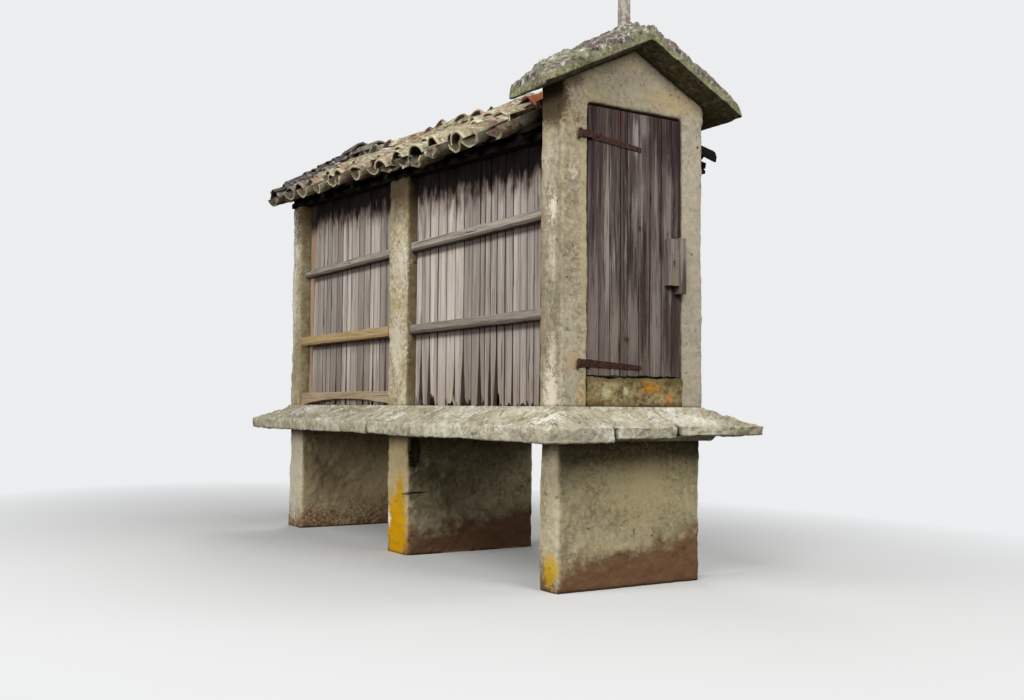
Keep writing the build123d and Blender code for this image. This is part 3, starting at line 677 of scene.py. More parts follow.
def ragged_rim(points, normals, seed):
    """The platform's thin rim is broken unevenly, its top is rough and pitted, and it is thinner to the right."""
    joint = slab_joint_share(points)
    outward = np.zeros_like(points)
    for axis, start, full in ((0, 0.66, 0.75), (1, 2.175, 2.265)):
        outward[:, axis] = np.sign(points[:, axis]) * ramp(np.abs(points[:, axis]), start, full)
    bulge = 0.010 * rough_noise(points, 0.14, seed + 3, 4) + 0.004
    points = points + outward * bulge[:, None]
    pits = np.clip(rough_noise(points, 0.05, seed + 7, 2) - 0.35, 0, 1) * 0.03
    sunk = 0.02 * joint * ramp(outside(points, 0.53, 2.05), 0, 0.02)
    points[:, 2] += np.clip(normals[:, 2], 0, 1) * (0.009 * rough_noise(points, 0.09, seed + 8, 3) - pits - sunk)
    points -= outward * (0.02 * joint)[:, None]
    low = ramp(points[:, 2], 0.93, 0.84) * ramp(outside(points, 0.56, 2.06), 0, 0.03)
    points[:, 2] += low * (0.02 * (points[:, 0] > SLAB_JOINTS_X[0]) + 0.015 * (points[:, 0] > SLAB_JOINTS_X[1]))
    return points


def ragged_cover(points, normals, seed):
    """The cover slabs' edges are uneven, their fronts thinner, and their tops lumpy, most of all on the ridge."""
    up = np.clip(normals[:, 2], 0, 1)
    crest = 1 + 1.2 * ramp(np.abs(points[:, 0]), 0.15, 0)
    bite = 0.008 * rough_noise(points, 0.1, seed + 3, 4) * np.clip(1 - np.abs(normals[:, 2]), 0, 1)
    bite += 0.013 * crest * rough_noise(points, 0.04, 43, 3) * up
    points = points + normals * (bite + 0.003)[:, None]
    points[:, 2] += 0.018 * np.clip(-1.6 * normals[:, 2], 0, 1) * ramp(points[:, 1], -2.10, -2.17)
    return points


def broken_corner(points, normals, seed):
    """The middle pier has lost stone at the top of its upper left corner."""
    depth = 0.014 + 0.008 * rough_noise(points, 0.07, seed + 3, 3)
    edge = 0.01 * rough_noise(points, 0.06, seed + 5, 2)
    near = ramp(points[:, 0] - edge, -0.43, -0.46) * ramp(points[:, 1], -0.13, -0.16)
    points[:, 1] += near * ramp(points[:, 2] + edge, 0.56, 0.58) * ramp(points[:, 2], 0.85, 0.8) * depth
    return points


def worn_front_corner(points, normals, seed):
    """The rear post's front corner has worn away."""
    share = ramp(points[:, 1], 1.9, 1.805) * ramp(np.abs(points[:, 0]), 0.44, 0.515)
    points[:, 1] += (0.05 + 0.012 * rough_noise(points, 0.2, seed + 3, 3)) * share
    return points


def hewn_stone(node, material, slot, grain, wave, grit, wear, seed, contacts=(), within=None, shape_more=None,
               start_mesh=None, stands_for=()):
    """A rough stone in a solid's place: its arrises are worn unevenly and its faces waver, but its contacts stay."""
    piece = new_piece(f"{node}_stone", start_mesh or end_shape(solid_shape(node), node))
    remesh = piece.modifiers.new("remesh", "REMESH")
    remesh.mode = "VOXEL"
    remesh.voxel_size = grain
    apply_modifiers(piece)
    mesh = piece.data
    points, normals = read_vectors(mesh), read_vectors(mesh, "normal")
    first = points.copy()
    ends = np.empty(len(mesh.edges) * 2, np.int32)
    mesh.edges.foreach_get("vertices", ends)
    ends = ends.reshape(-1, 2)
    count = np.maximum(np.bincount(ends.ravel(), minlength=len(points)), 1)
    bend = ((points - neighbour_mean(points, ends, count)) * normals).sum(1) / grain
    inside = outside(points, *within) < 0 if within else np.ones(len(points), bool)
    held = np.zeros(len(points))
    for axis, level in contacts:
        near = np.clip(1.4 - np.abs(points[:, axis] - level) / (2 * grain), 0, 1) * inside
        held = np.maximum(held, near)
    softness = (np.clip(0.5 + 0.6 * lattice_noise(points, 0.09, seed), 0.1, 1) * (1 - held))[:, None]
    for _ in range(wear):
        points += softness * (neighbour_mean(points, ends, count) - points)
    swell = wave * rough_noise(first, 0.28, seed, 2) + grit * rough_noise(first, 0.04, seed + 9, 3) - 0.15 * wave
    points += swell[:, None] * normals
    if shape_more:
        points = shape_more(points, normals, seed)
    for axis, level in contacts:
        outward = 1 if level > (first[:, axis].min() + first[:, axis].max()) / 2 else -1
        face = (np.abs(first[:, axis] - level) < 0.6 * grain) & inside
        points[face, axis] = level + outward * CONTACT_LAP
    write_points(mesh, points)
    normals = read_vectors(mesh, "normal")
    crust = crust_share(points) if slot == "cover_stone" else 0
    for label, values in (
        ("arris", np.clip(bend * 4, 0, 1) * (1 - held)), ("up", np.maximum(ramp(normals[:, 2], 0.4, 0.9), crust)),
        ("under", ramp(normals[:, 2], -0.4, -0.9)), ("front", ramp(normals[:, 1], -0.4, -0.9)),
        ("joint", slab_joint_share(first) * (slot == "platform_stone")),
    ):
        write_values(mesh, label, values)
    mesh.shade_smooth()
    settle(piece, "root", stands_for or [node], material)


def front_mesh():
    """The stone front's three solids as one, since its joints don't show, with the wall plates' ends closed in."""
    shape = solid_shape(*FRONT_NODES)
    for side in ("left", "right"):
        plate_end = solid_shape(f"wall_plate_{side}")
        cut(plate_end, (0, FRAME_BACK - CONTACT_LAP, 0), (0, 1, 0), clear_outer=True)
        shape.from_mesh(end_shape(plate_end, "plate_end"))
    return end_shape(shape, "front_stones")


# A stone's numbers are its grain, wave and grit, how often it is worn, and its seed
ON_GROUND, UNDER_SLABS, ON_FLOOR = (2, 0.0), (2, 0.83), (2, FLOOR_LEVEL)
for seed, node in enumerate(("front_pier", "middle_pier", "rear_pier"), 11):
    hewn_stone(
        node, pier_plaster, "pier_stone", 0.013, 0.008, 0.004, 3, seed, [ON_GROUND, UNDER_SLABS],
        shape_more=broken_corner if node == "middle_pier" else None,
    )
slabs = [f"{row}_{column}_slab" for row in ("front", "rear") for column in ("left", "middle", "right")]
for seed, node in enumerate(slabs, 20):
    hewn_stone(
        node, platform_stone, "platform_stone", 0.013, 0.005, 0.006, 1, seed, [UNDER_SLABS, ON_FLOOR], (0.56, 2.06),
        ragged_rim,
    )
hewn_stone(
    "doorway", frame_stone, "frame_stone", 0.011, 0.004, 0.003, 2, 30, [ON_FLOOR], start_mesh=front_mesh(),
    stands_for=FRONT_NODES,
)
hewn_stone("threshold_block", threshold_stone, "threshold_stone", 0.009, 0.006, 0.008, 3, 34, [ON_FLOOR])
for number, side in enumerate(("left", "right")):
    hewn_stone(
        f"gable_cover_{side}", cover_stone, "cover_stone", 0.010, 0.003, 0.003, 1, 40 + number,
        shape_more=ragged_cover,
    )
    for seed, post, shape_more in ((50, "middle", None), (51, "rear", worn_front_corner)):
        hewn_stone(
            f"{post}_post_{side}", post_stone, "post_stone", 0.011, 0.007, 0.004, 2, seed + 2 * number, [ON_FLOOR],
            shape_more=shape_more,
        )
hewn_stone("ridge_cross", cross_stone, "cross_stone", 0.006, 0.001, 0.001, 1, 60)


# Boards, one by one
def make_board_pattern():
    """One board of unit size, facing -Y, with marks for its foot, its sides and its rim."""
    columns = (-0.5, -0.47, -0.3, -0.1, 0.1, 0.3, 0.47, 0.5)
    rows = 26
    shape = bmesh.new()
    marks = [shape.verts.layers.float.new(label) for label in ("foot", "low", "side", "rim")]
    sheets = []
    for depth in (0.0, 1.0):
        sheet = []
        for level in ((row / rows) ** 1.35 for row in range(rows + 1)):
            line = [shape.verts.new((column, depth, level)) for column in columns]
            for column, vert in zip(columns, line):
                feet = [max(0.0, 1.0 - level / height) for height in (0.06, 0.3)]
                values = (*feet, 2 * column, float(abs(column) == 0.5))
                for mark, value in zip(marks, values):
                    vert[mark] = value
            sheet.append(line)
        sheets.append(sheet)
    return close_sheets(shape, *sheets, "board_pattern")


@node_group(
    {"Stations": "NodeSocketGeometry", "Pattern": "NodeSocketObject", "Turn Play": ORIGIN, "Slide Play": ORIGIN,
     "Bend": ORIGIN, "Bend Scale": 3.0, "End Wear": ORIGIN, "Across": ORIGIN, "Seed": 1,
     "Finish": "NodeSocketMaterial"},
    "GeometryNodeTree", "NodeSocketGeometry",
)
def laid_pieces(tree, stations, pattern, turn_play, slide_play, bend, bend_scale, end_wear, across, seed, finish):
    """Lays a pattern piece on each station point, with random play, bends it a little and roughens its end."""
    def step(kind, inputs=None, **settings):
        return add_node(tree, kind, inputs, **settings).outputs[0]

    def named(name, kind="FLOAT"):
        return step("GeometryNodeInputNamedAttribute", {"Name": name}, data_type=kind)

    def play(most, shift):
        least, drawn_seed = vectors(tree, "SCALE", most, -1.0), maths(tree, "ADD", seed, shift)
        return step("FunctionNodeRandomValue", {0: least, 1: most, 8: drawn_seed}, data_type="FLOAT_VECTOR")

    def turned(angles):
        return step("FunctionNodeEulerToRotation", {"Euler": angles})

    instance = add_node(tree, "GeometryNodeObjectInfo", {"Object": pattern, "As Instance": True}).outputs["Geometry"]
    laid = step("GeometryNodeInstanceOnPoints", {
        "Points": stations, "Instance": instance, "Rotation": turned(named("turn", "FLOAT_VECTOR")),
        "Scale": named("size", "FLOAT_VECTOR"),
    })
    turn = turned(play(turn_play, 0.0))
    laid = step("GeometryNodeRotateInstances", {"Instances": laid, "Rotation": turn, "Local Space": True})
    slide = play(slide_play, 50.0)
    laid = step("GeometryNodeTranslateInstances", {"Instances": laid, "Translation": slide, "Local Space": True})
    whole = step("GeometryNodeRealizeInstances", {"Geometry": laid})
    own = vectors(tree, "SCALE", (13.0, 7.0, 11.0), named("tone"))
    own = vectors(tree, "ADD", step("GeometryNodeInputPosition"), own)
    field = add_node(tree, "ShaderNodeTexNoise", {"Vector": own, "Scale": bend_scale, "Detail": 2.0}).outputs["Color"]
    bent = vectors(tree, "MULTIPLY", vectors(tree, "ADD", field, (-0.5, -0.5, -0.5)), bend)
    bite = between(tree, noise(tree, own, 24.0, 3.0, 0.6), 0.42, 0.7)
    ragged = maths(tree, "MULTIPLY", maths(tree, "MULTIPLY", bite, named("decay")), named("foot"))

    def pull(sign, taper):
        return maths(tree, "MULTIPLY", maths(tree, "MAXIMUM", maths(tree, "MULTIPLY", named("side"), sign), 0.0), taper)

    left, right = pull(-1.0, named("left_taper")), pull(1.0, named("right_taper"))
    drawn_in = maths(tree, "MULTIPLY", maths(tree, "SUBTRACT", left, right), maths(tree, "POWER", named("low"), 1.3))
    offset = vectors(tree, "ADD", bent, vectors(tree, "SCALE", end_wear, ragged))
    offset = vectors(tree, "ADD", offset, vectors(tree, "SCALE", across, drawn_in))
    whole = step("GeometryNodeSetPosition", {"Geometry": whole, "Offset": offset})
    return {"Pieces": step("GeometryNodeSetMaterial", {"Geometry": whole, "Material": finish})}


STATION_VALUES = ("tone", "decay", "fresh", "bleached", "dusk", "painted_shade", "left_taper", "right_taper")


def lay(name, stations, pattern, finish, seed, settings):
    """A plain mesh of the pattern laid on every station. A station is a dict of its place, turn, size and values."""
    mesh = bpy.data.meshes.new(name)
    mesh.from_pydata([station["place"] for station in stations], [], [])
    for label in ("turn", "size"):
        attribute = mesh.attributes.new(label, "FLOAT_VECTOR", "POINT")
        attribute.data.foreach_set("vector", np.array([station[label] for station in stations], np.float32).ravel())
    for label in STATION_VALUES:
        write_values(mesh, label, [station.get(label, float(label == "decay")) for station in stations])
    piece = new_piece(name, mesh)
    modifier = piece.modifiers.new("laying", "NODES")
    modifier.node_group = laid_pieces
    values = {"Pattern": pattern, "Seed": seed, "Finish": finish, **settings}
    for item in laid_pieces.interface.items_tree:
        if item.item_type == "SOCKET" and item.in_out == "INPUT" and item.name in values:
            modifier[item.identifier] = values[item.name]
    return apply_modifiers(piece)


BOARD = make_board_pattern()


def board_edges(start, end, count, uneven, chance):
    """Places where one board ends and the next begins, with uneven widths."""
    widths = 1 + uneven * (chance.random(count) - 0.5)
    return start + (end - start) * np.concatenate([[0], np.cumsum(widths) / widths.sum()])


def board_stations(edges, gap, face, turn, foot, top, chance, along_y=True, thickness=BOARD_THICKNESS):
    """One station for each board between the edges."""
    return [{
        "place": (face, (left + right) / 2, foot) if along_y else ((left + right) / 2, face, foot),
        "turn": (0, 0, turn),
        "size": (right - left - gap * (0.3 + 1.4 * chance.random()), thickness, top((left + right) / 2) - foot),
        "tone": chance.random(), "decay": 0.35 * (0.3 + 1.4 * chance.random()),
    } for left, right in zip(edges[:-1], edges[1:])]


def side_boards(node, side, edges, seed, rotten=(), gaps=(), pale=()):
    """The boards of one bay. Some are rotten at the foot, some draw apart there, and some are paler."""
    turn = side * math.pi / 2
    stations = board_stations(
        edges, 0.007 if side < 0 else 0.002, side * (BOARD_FACE - 0.001), turn, FLOOR_LEVEL - 0.004,
        lambda y: PLATE_UNDERSIDE + roof_lift(y) - 0.002, np.random.default_rng(seed),
    )
    for index in rotten:
        stations[index]["decay"] = 1.6
    before, after = ("right_taper", "left_taper") if side > 0 else ("left_taper", "right_taper")
    for index, width in gaps:
        stations[index - 1][before] = width / 2
        stations[index][after] = width / 2
    for index in pale:
        stations[index]["tone"] = 1.9
    piece = lay(f"{node}_set", stations, BOARD, aged_boards, seed, {
        "Turn Play": (0.0, 0.0025, 0.0), "Slide Play": (0.0, 0.0035, 0.0), "Bend": (0.006, 0.007, 0.0),
        "Bend Scale": 2.2, "End Wear": (0, 0, 0.12 if side < 0 else 0.0), "Across": (math.cos(turn), math.sin(turn), 0),
    })
    settle(piece, "root", [node])


side_boards(
    "front_bay_boards_left", -1,
    (-1.81, -1.712, -1.639, -1.564, -1.488, -1.41, -1.319, -1.226, -1.148, -1.082, -1.02, -0.92, -0.811, -0.699,
     -0.583, -0.465, -0.35, -0.228, -0.15),
    3, (6, 9, 11, 13, 15, 17),
    ((1, 0.03), (5, 0.02), (7, 0.05), (8, 0.03), (10, 0.05), (12, 0.06), (13, 0.03), (16, 0.05), (17, 0.06)),
)
side_boards(
    "rear_bay_boards_left", -1,
    (0.14, 0.23, 0.334, 0.436, 0.549, 0.611, 0.719, 0.829, 0.961, 1.038, 1.136, 1.236, 1.358, 1.441, 1.515, 1.633,
     1.76),
    5, (), ((1, 0.03), (2, 0.03), (4, 0.03), (6, 0.02), (9, 0.03), (11, 0.03), (14, 0.02)), (8,),
)
for node, start, end, count, seed, gaps in (
    ("front_bay_boards_right", FRAME_BACK, MIDDLE_POST[0], 17, 4, ((4, 0.02), (11, 0.03))),
    ("rear_bay_boards_right", MIDDLE_POST[1], REAR_POST_FRONT, 16, 6, ((6, 0.02),)),
):
    side_boards(node, 1, board_edges(start, end, count, 0.5, np.random.default_rng(seed)), seed, (), gaps)


def cut_boards(node, material, count, seed):
    """The rear wall's boards are cut from its panel, since their tops follow the roof and its beams."""
    chance = np.random.default_rng(seed)
    low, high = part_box(node)
    edges = board_edges(low.x, high.x, count, 0.4, chance)
    whole = solid_shape(node)
    boards = bmesh.new()
    tone, rim = (boards.verts.layers.float.new(label) for label in ("tone", "rim"))
    for index, (left, right) in enumerate(zip(edges[:-1], edges[1:])):
        board = whole.copy()
        left, right = left + 0.003 * (index > 0), right - 0.003 * (index < count - 1)
        for place, side in ((left, -1), (right, 1)):
            cut(board, (place, 0, 0), (side, 0, 0), clear_outer=True)
        for level in np.arange(low.z + 0.04, high.z, 0.06):
            cut(board, (0, 0, level), (0, 0, 1))
        board.verts.index_update()
        colour, back = chance.random(), Vector((0, 0.003 * (chance.random() - 0.5), 0))
        made = []
        for vert in board.verts:
            made.append(boards.verts.new(vert.co + back))
            made[-1][tone] = colour
            made[-1][rim] = float(min(vert.co.x - left, right - vert.co.x) < 0.001)
        for face in board.faces:
            boards.faces.new([made[vert.index] for vert in face.verts])
        board.free()
    whole.free()
    bmesh.ops.recalc_face_normals(boards, faces=boards.faces)
    mesh = end_shape(boards, f"{node}_set")
    points = read_vectors(mesh)
    points[:, 0] += 0.003 * lattice_noise(points, 0.25, seed)
    write_points(mesh, points)
    settle(new_piece(f"{node}_set", mesh), "root", [node], material)


cut_boards("rear_wall_boards", aged_boards, 7, 8)


# Timbers
def worn_timber(node, material, axis, step, wobble, arris, seed, body="root", tone=0.5, start=None, lean=None):
    """A timber in a solid's place, from a start if given: its arrises are eased, and it wavers along its length."""
    shape = solid_shape(node)
    normal = Vector([float(place == axis) for place in range(3)])
    if start is not None:
        cut(shape, (start, start, start), normal, clear_inner=True)
    sharp = [edge for edge in shape.edges if edge.is_manifold and edge.calc_face_angle(0) > math.radians(40)]
    bmesh.ops.bevel(shape, geom=sharp, offset=arris, segments=2, profile=0.6, affect="EDGES", clamp_overlap=True)
    low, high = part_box(node)
    for place in np.arange(low[axis] + step, high[axis], step):
        cut(shape, normal * place, normal)
    mesh = end_shape(shape, node)
    points = read_vectors(mesh)
    shift = np.stack([rough_noise(points, 0.12, seed + place, 3) for place in range(3)], axis=1) * wobble
    shift[:, axis] *= 0.3
    points += shift
    if lean:
        lean(points)
    write_points(mesh, points)
    write_values(mesh, "tone", np.full(len(points), tone))
    settle(new_piece(f"{node}_timber", mesh), body, [node], material)


def lean_strip(points):
    """The corner strip is wider at the top, where it leans over the boards' edge."""
    share = ramp(points[:, 2], FLOOR_LEVEL, FLOOR_LEVEL + 1.5) * ramp(points[:, 1], REAR_POST_FRONT, 1.76)
    points[:, 1] -= 0.02 + 0.055 * share
    points[:, 0] -= 0.006


# A timber's numbers are its axis, the length between its cuts, its wobble, its arris and its seed
worn_timber("rails_left", aged_rail, 1, 0.03, 0.003, 0.006, 71, tone=0.45)
worn_timber("rails_right", aged_rail, 1, 0.03, 0.003, 0.006, 72)
worn_timber("rails_rear", aged_rail_across, 0, 0.03, 0.003, 0.006, 73)
worn_timber("new_rail_left", new_timber, 1, 0.04, 0.003, 0.004, 74)
worn_timber("sill_rail_left", sill_timber, 1, 0.03, 0.003, 0.005, 75)
worn_timber("corner_strip_left", strip_timber, 2, 0.05, 0.002, 0.003, 76, lean=lean_strip)
for side in ("left", "right"):
    worn_timber(
        f"wall_plate_{side}", long_roof_timber, 1, 0.06, 0.003, 0.006, 79,
        start=FRAME_BACK - CONTACT_LAP,
    )
worn_timber("door_ledges", door_wood, 0, 0.05, 0.001, 0.003, 77, "door", 0.4)
worn_timber("lock_case", lock_wood, 2, 0.03, 0.0012, 0.004, 78, "door", 0.6)


# The door's leaf
def door_leaf():
    """The leaf's upright boards, which are not all of one width."""
    low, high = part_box("door_boards")
    edges = (low.x, -0.251, -0.176, -0.098, -0.046, 0.037, 0.12, 0.204, 0.288, high.x)
    stations = board_stations(
        edges, 0.004, low.y, 0.0, low.z, lambda x: high.z, np.random.default_rng(12), False, high.y - low.y,
    )
    piece = lay("door_boards_set", stations, BOARD, door_wood, 12, {
        "Slide Play": (0.0, 0.0015, 0.0), "Bend": (0.002, 0.003, 0.0), "Bend Scale": 2.5, "End Wear": (0, 0, 0.02),
    })
    settle(piece, "door", ["door_boards"])


def make_rivet_pattern():
    """A low domed rivet head that faces -Y."""
    sides = 8
    shape = bmesh.new()
    rings = [
        [shape.verts.new((radius * math.cos(angle), -height, radius * math.sin(angle)))
         for angle in (math.tau * place / sides for place in range(sides))]
        for radius, height in ((0.0085, -0.0006), (0.0085, 0.001), (0.0048, 0.0036))
    ]
    for lower, upper in zip(rings[:-1], rings[1:]):
        for place in range(sides):
            after = (place + 1) % sides
            shape.faces.new((lower[place], lower[after], upper[after], upper[place]))
    shape.faces.new(rings[0])
    shape.faces.new(rings[-1])
    bmesh.ops.recalc_face_normals(shape, faces=shape.faces)
    return bpy.data.objects.new("rivet_pattern", end_shape(shape, "rivet_pattern"))


def strap_rivets():
    """Rivet heads along the middle of both straps, which fall and narrow towards their tips."""
    chance = np.random.default_rng(80)
    start, tip, face, spacing = -0.302, 0.051, -2.022, 0.098
    stations = []
    for level, fall in ((2.559, 0.04), (1.268, 0.018)):
        for index in range(4):
            x = start + 0.035 + index * spacing
            share = (x - start) / (tip - start)
            size = 1 - 0.25 * share
            stations.append({
                "place": (x, face, level - fall * share), "turn": ORIGIN, "size": (size, 1, size),
                "tone": chance.random(),
            })
    piece = lay("strap_rivets", stations, make_rivet_pattern(), rusty_iron, 80, {"Slide Play": (0.004, 0.0, 0.002)})
    settle(piece, "door")


door_leaf()
strap_rivets()


# Canal tiles
def make_tile_pattern(name, low_width, high_width, hollow_up):
    """A tapered half-round tile whose lower end is at the origin and which runs up along -X."""
    around = 7
    edge_angle = math.radians(80)
    shape = bmesh.new()
    foot, hollow, moss = (shape.verts.layers.float.new(label) for label in ("foot", "hollow", "moss"))
    skins = []
    for inset in (0.0, TILE_WALL):
        skin = []
        for share in (0.0, 0.07, 0.5, 1.0):
            radius = (low_width + (high_width - low_width) * share) / 2 / math.sin(edge_angle)
            line = []
            for angle in (edge_angle * (2 * place / around - 1) for place in range(around + 1)):
                y = (radius - inset) * math.sin(angle)
                z = (radius - inset) * math.cos(angle) - radius * math.cos(edge_angle)
                vert = shape.verts.new((-TILE_LENGTH * share, y, z))
                vert[foot] = float(share == 0)
                vert[hollow] = float(inset > 0)
                # The channels' outer skin faces down; it darkens from the foot up, with moss and painted shade
                vert[moss] = float(hollow_up and inset == 0) * min(1.0, 0.25 + 3 * share)
                line.append(vert)
            skin.append(line)
        skins.append(skin)
    if hollow_up:
        bmesh.ops.rotate(shape, verts=shape.verts, matrix=Matrix.Rotation(math.pi, 3, "X"))
    pattern = close_sheets(shape, *skins, name)
    pattern.data.shade_smooth()
    pattern.data.set_sharp_from_angle(angle=math.radians(50))
    return pattern


TILE_LENGTH = 0.42
TILE_WALL = 0.016
COVER_TILE = make_tile_pattern("cover_tile", 0.17, 0.14, False)
CHANNEL_TILE = make_tile_pattern("channel_tile", 0.155, 0.185, True)
TILE_SETTINGS = {
    "Turn Play": (0.2, 0.07, 0.16), "Slide Play": (0.03, 0.012, 0.008), "Bend": (0.014, 0.014, 0.02),
    "Bend Scale": 6.0,
}


def slope_axes(side):
    """Down the slope, along the roof, and out of it."""
    down = Vector((side, 0, -ROOF_SLOPE)).normalized()
    along = Vector((0, side, side * ROOF_RISE)).normalized()
    out = down.cross(along).normalized()
    return down, out.cross(down), out


def dusk(y):
    """How far the dark growth of the rear has taken a tile at this place."""
    return float(np.clip((y - 1.2) / 0.6, 0, 1)) * 0.6


def tile_station(side, y, reach, height, chance, tilt, scale, **values):
    """A station at this distance from the ridge, measured level, and this height off the roof boards."""
    down, along, out = slope_axes(side)
    seat = Vector((side * reach, y, RIDGE_SEAT - reach * ROOF_SLOPE + roof_lift(y)))
    turned = Matrix((down, along, out)).transposed() @ Matrix.Rotation(-tilt, 3, "Y")
    return {
        "place": seat + out * height, "turn": turned.to_euler(), "size": (scale, scale, scale),
        "tone": chance.random(), "decay": 2.0 * chance.random() ** 2, "dusk": dusk(y), **values,
    }


def tile_side(name, side, eave, droop, seed, odd_channels, odd_covers, more_covers=()):
    """Channel tiles hollow side up, with covers over their gaps. Odd tiles are lost, moved, tilted or tinted."""
    chance = np.random.default_rng(seed)
    pitch = (ROOF_REAR - 0.15 - FIRST_CHANNEL) / (TILE_COLUMNS - 1)
    step = (eave - 0.06) / TILE_COURSES
    laid = {"channels": [], "covers": []}
    for column in range(-1, TILE_COLUMNS):
        for course in range(TILE_COURSES):
            for kind, odd, across, height, back, rise in (
                ("channels", odd_channels, column, 0.068, -droop, 0.0),
                ("covers", odd_covers, column + 0.5, 0.046, 0.04, 0.07),
            ):
                change = dict(odd.get((column, course), {}))
                y = FIRST_CHANNEL + across * pitch + change.pop("shift", 0.0)
                slide = 0.05 * (chance.random() - 0.5) + change.pop("slide", 0.0)
                tilt = change.pop("tilt", 0.03 + rise * chance.random())
                height += change.pop("height", 0.02 * (chance.random() - 0.3))
                scale = 0.93 + 0.16 * chance.random()
                if change.pop("lost", False) or (kind == "channels" and column < 0):
                    continue
                reach = eave - course * step - back + slide
                laid[kind].append(tile_station(side, y, reach, height, chance, tilt, scale, **change))
    for y, reach, height, tilt, scale in more_covers:
        laid["covers"].append(tile_station(side, y, reach, height, chance, tilt, scale, dusk=1.0))
    settings = {**TILE_SETTINGS, "End Wear": tuple(slope_axes(side)[0] * -0.06)}
    for number, (kind, pattern) in enumerate((("channels", CHANNEL_TILE), ("covers", COVER_TILE))):
        piece = lay(f"{name}_{kind}", laid[kind], pattern, roof_tile, seed + number, settings)
        settle(piece, "root", [name])


# Tiles are counted from the front, and courses from the eave
TILE_COLUMNS = 16
TILE_COURSES = 3
FIRST_CHANNEL = -1.61
LOST = {"lost": True}
tile_side(
    "roof_tiles_left", -1, EAVE_LEFT, 0.02, 101,
    {(0, 0): {"shift": -0.05, "slide": 0.0, "tilt": 0.02}, (4, 0): {"slide": 0.05, "tilt": 0.10, "height": -0.03},
     (7, 1): {"slide": 0.08}, (10, 0): {"slide": -0.05}, (0, 1): LOST, (0, 2): LOST, (1, 2): {"fresh": 0.8},
     (2, 2): {"fresh": 0.6}},
    {(-1, 0): LOST, (0, 0): LOST, (-1, 1): LOST, (-1, 2): LOST, (0, 1): LOST, (0, 2): LOST,
     (1, 2): {"slide": -0.02, "fresh": 0.9, "tilt": 0.09, "height": 0.02}, (1, 0): {"slide": 0.05}, (4, 1): LOST,
     (2, 1): {"tilt": 0.14}, (6, 0): {"slide": 0.06}, (8, 1): {"tilt": 0.16}, (11, 0): LOST, (12, 2): {"tilt": 0.2},
     (10, 2): {"bleached": 0.9, "slide": -0.03, "tilt": 0.16}, (5, 2): {"tilt": 0.18, "slide": 0.06}},
    [(2.03, 0.66, 0.10, 0.10, 0.45), (1.98, 0.58, 0.105, 0.14, 0.5), (2.04, 0.52, 0.11, 0.06, 0.5),
     (1.97, 0.45, 0.11, 0.16, 0.55), (2.03, 0.38, 0.12, 0.05, 0.5), (1.98, 0.31, 0.12, 0.15, 0.5),
     (2.03, 0.24, 0.125, 0.06, 0.5), (1.97, 0.17, 0.125, 0.14, 0.5), (2.02, 0.10, 0.13, 0.08, 0.5)],
)
# On the right, the lowest front tiles are lifted and darkened as painted shade
tile_side(
    "roof_tiles_right", 1, EAVE_RIGHT - 0.03, -0.02, 105,
    {(0, 0): {"tilt": 0.2, "height": 0.07, "painted_shade": 1.0}, (1, 0): {"tilt": 0.16, "height": 0.05, "painted_shade": 0.9}},
    {(-1, 0): {"tilt": 0.21, "height": 0.07, "painted_shade": 1.0}, (0, 0): {"tilt": 0.2, "height": 0.06, "painted_shade": 1.0},
     (6, 1): {"tilt": 0.15}, (9, 0): LOST, (12, 1): {"fresh": 0.7}},
)

# The crest's height over its even line, at places along the ridge
CREST_PLACES = (-1.8, -0.9, -0.6, -0.36, 0.1, 0.3, 0.5, 0.8, 1.1, 1.35, 1.7, 2.11)
CREST_HEIGHTS = (0.0, -0.03, -0.04, -0.025, 0.01, 0.005, -0.01, -0.02, -0.015, 0.05, 0.075, 0.09)
BLEACHED_RIDGE_TILE = 9


def ridge_run():
    """Ridge tiles, each lying on the one in front of it, along an uneven crest."""
    chance = np.random.default_rng(110)
    low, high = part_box("ridge_tiles")
    count = int((high.y - low.y) / 0.3)
    stations = []
    for index in range(count + 1):
        y = low.y + 0.02 + index * (high.y - low.y - TILE_LENGTH) / count
        foot, head = (
            RIDGE_SEAT + 0.065 + roof_lift(place) + float(np.interp(place, CREST_PLACES, CREST_HEIGHTS))
            for place in (y, y + TILE_LENGTH)
        )
        rise = math.atan2(head - 0.02 - foot, TILE_LENGTH)
        turned = Matrix(((0, 1, 0), (-1, 0, 0), (0, 0, 1))) @ Matrix.Rotation(rise, 3, "Y")
        stations.append({
            "place": (0.02 * (chance.random() - 0.5), y, foot), "turn": turned.to_euler(), "size": (1, 1.12, 1.05),
            "tone": chance.random(), "dusk": min(1.0, 1.6 * dusk(y + 0.2)),
            "bleached": 0.9 * (index == BLEACHED_RIDGE_TILE), "decay": 1.5 * chance.random(),
        })
    piece = lay("ridge_tiles_run", stations, COVER_TILE, roof_tile, 110, {
        **TILE_SETTINGS, "Turn Play": (0.14, 0.04, 0.14), "Slide Play": (0.02, 0.012, 0.008),
        "End Wear": (0, 0.04, 0),
    })
    settle(piece, "root", ["ridge_tiles"])


ridge_run()

# Finishes of the solids that show as they are
for finish, nodes in (
    (long_roof_timber, ("ridge_beam",)), (rusty_iron, ("strap_hinges", "pintles")),
    (roof_timber, ("roof_boards_left", "roof_boards_right", "rafters_left", "rafters_right", "roof_trusses")),
):
    for node in nodes:
        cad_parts[node].data.materials.clear()
        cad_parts[node].data.materials.append(finish)


# Floor, lights and camera, in linear colours
BACKDROP = (0.84, 0.85, 0.86, 1)
FLOOR_COLOUR = (0.62, 0.62, 0.61, 1)
FLOOR_REFLECTION = (0.1, 0.1, 0.09, 1)


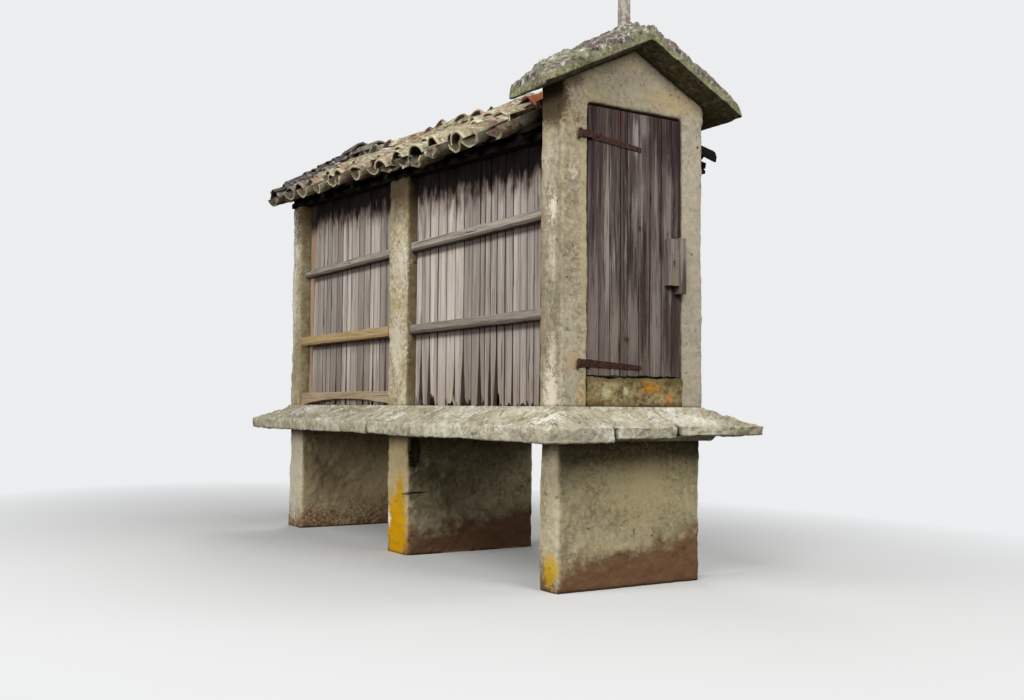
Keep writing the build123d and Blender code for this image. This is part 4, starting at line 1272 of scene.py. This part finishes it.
def make_floor():
    """A pale floor that fades into the backdrop, and throws little light back up."""
    mesh = bpy.data.meshes.new("studio_floor")
    reach = 60.0
    corners = [(-reach, -reach, 0), (reach, -reach, 0), (reach, reach, 0), (-reach, reach, 0)]
    mesh.from_pydata(corners, [], [(0, 1, 2, 3)])
    floor = new_piece("studio_floor", mesh)
    material, tree, shader, place = start_finish("studio_floor", 1.0)
    shader.inputs["Specular IOR Level"].default_value = 0.0
    camera_ray = tree.nodes.new("ShaderNodeLightPath").outputs["Is Camera Ray"]
    tree.links.new(over(tree, camera_ray, FLOOR_REFLECTION, FLOOR_COLOUR), shader.inputs["Base Color"])
    away = vectors(tree, "LENGTH", vectors(tree, "MULTIPLY", place, (1.0, 0.6, 1.0)))
    fade = maths(tree, "MULTIPLY", between(tree, away, 1.6, 4.6), camera_ray)
    far = add_node(tree, "ShaderNodeEmission", {"Color": BACKDROP, "Strength": 1.0}).outputs[0]
    mixed = add_node(tree, "ShaderNodeMixShader", {0: fade, 1: shader.outputs[0], 2: far}).outputs[0]
    tree.links.new(mixed, tree.nodes["Material Output"].inputs["Surface"])
    mesh.materials.append(material)


def make_world():
    """Even weak light from all round, behind a backdrop that only the camera sees."""
    world = bpy.data.worlds.new("studio")
    world.use_nodes = True
    tree = world.node_tree
    tree.nodes.clear()
    rays = tree.nodes.new("ShaderNodeLightPath").outputs
    sky, backdrop = (
        add_node(tree, "ShaderNodeBackground", {"Color": colour, "Strength": strength}).outputs[0]
        for colour, strength in (((1.0, 1.0, 1.0, 1), 0.06), (BACKDROP, 1.0))
    )
    mixed = add_node(tree, "ShaderNodeMixShader", {0: rays["Is Camera Ray"], 1: sky, 2: backdrop})
    add_node(tree, "ShaderNodeOutputWorld", {"Surface": mixed.outputs[0]})
    scene.world = world


def add_light(name, azimuth, elevation, power):
    """A round soft lamp, 9 m from the middle of the granary, in the direction given in degrees."""
    light = bpy.data.lights.new(name, "AREA")
    light.shape = "DISK"
    light.size = 4.0
    light.energy = power
    lamp = bpy.data.objects.new(name, light)
    turn, rise = math.radians(azimuth), math.radians(elevation)
    away = Vector((math.sin(turn) * math.cos(rise), -math.cos(turn) * math.cos(rise), math.sin(rise)))
    lamp.location = Vector((0, 0, 1.5)) + away * 9.0
    lamp.rotation_euler = away.to_track_quat("Z", "Y").to_euler()
    scene.collection.objects.link(lamp)


def add_camera(place, yaw, pitch, roll, lens):
    """The camera, turned by its angles in degrees, with its lens in millimetres."""
    camera = bpy.data.objects.new("camera", bpy.data.cameras.new("camera"))
    camera.data.lens = lens
    camera.data.sensor_width = 36.0
    camera.data.clip_end = 200.0
    matrix = Matrix.Translation(place)
    for angle, axis in ((yaw, "Z"), (90 + pitch, "X"), (roll, "Z")):
        matrix = matrix @ Matrix.Rotation(math.radians(angle), 4, axis)
    camera.matrix_world = matrix
    scene.collection.objects.link(camera)
    scene.camera = camera


make_floor()
make_world()
for name, azimuth, elevation, power in (
    ("left_low", -90, 12, 490), ("front_left", -45, 35, 460), ("front", 0, 25, 360), ("right", 60, 25, 210),
    ("back", 155, 35, 260),
):
    add_light(name, azimuth, elevation, power)
add_camera((-3.971, -6.979, 1.018), -32.35, 2.98, 0.46, 38.67)
scene.view_settings.view_transform = "Standard"
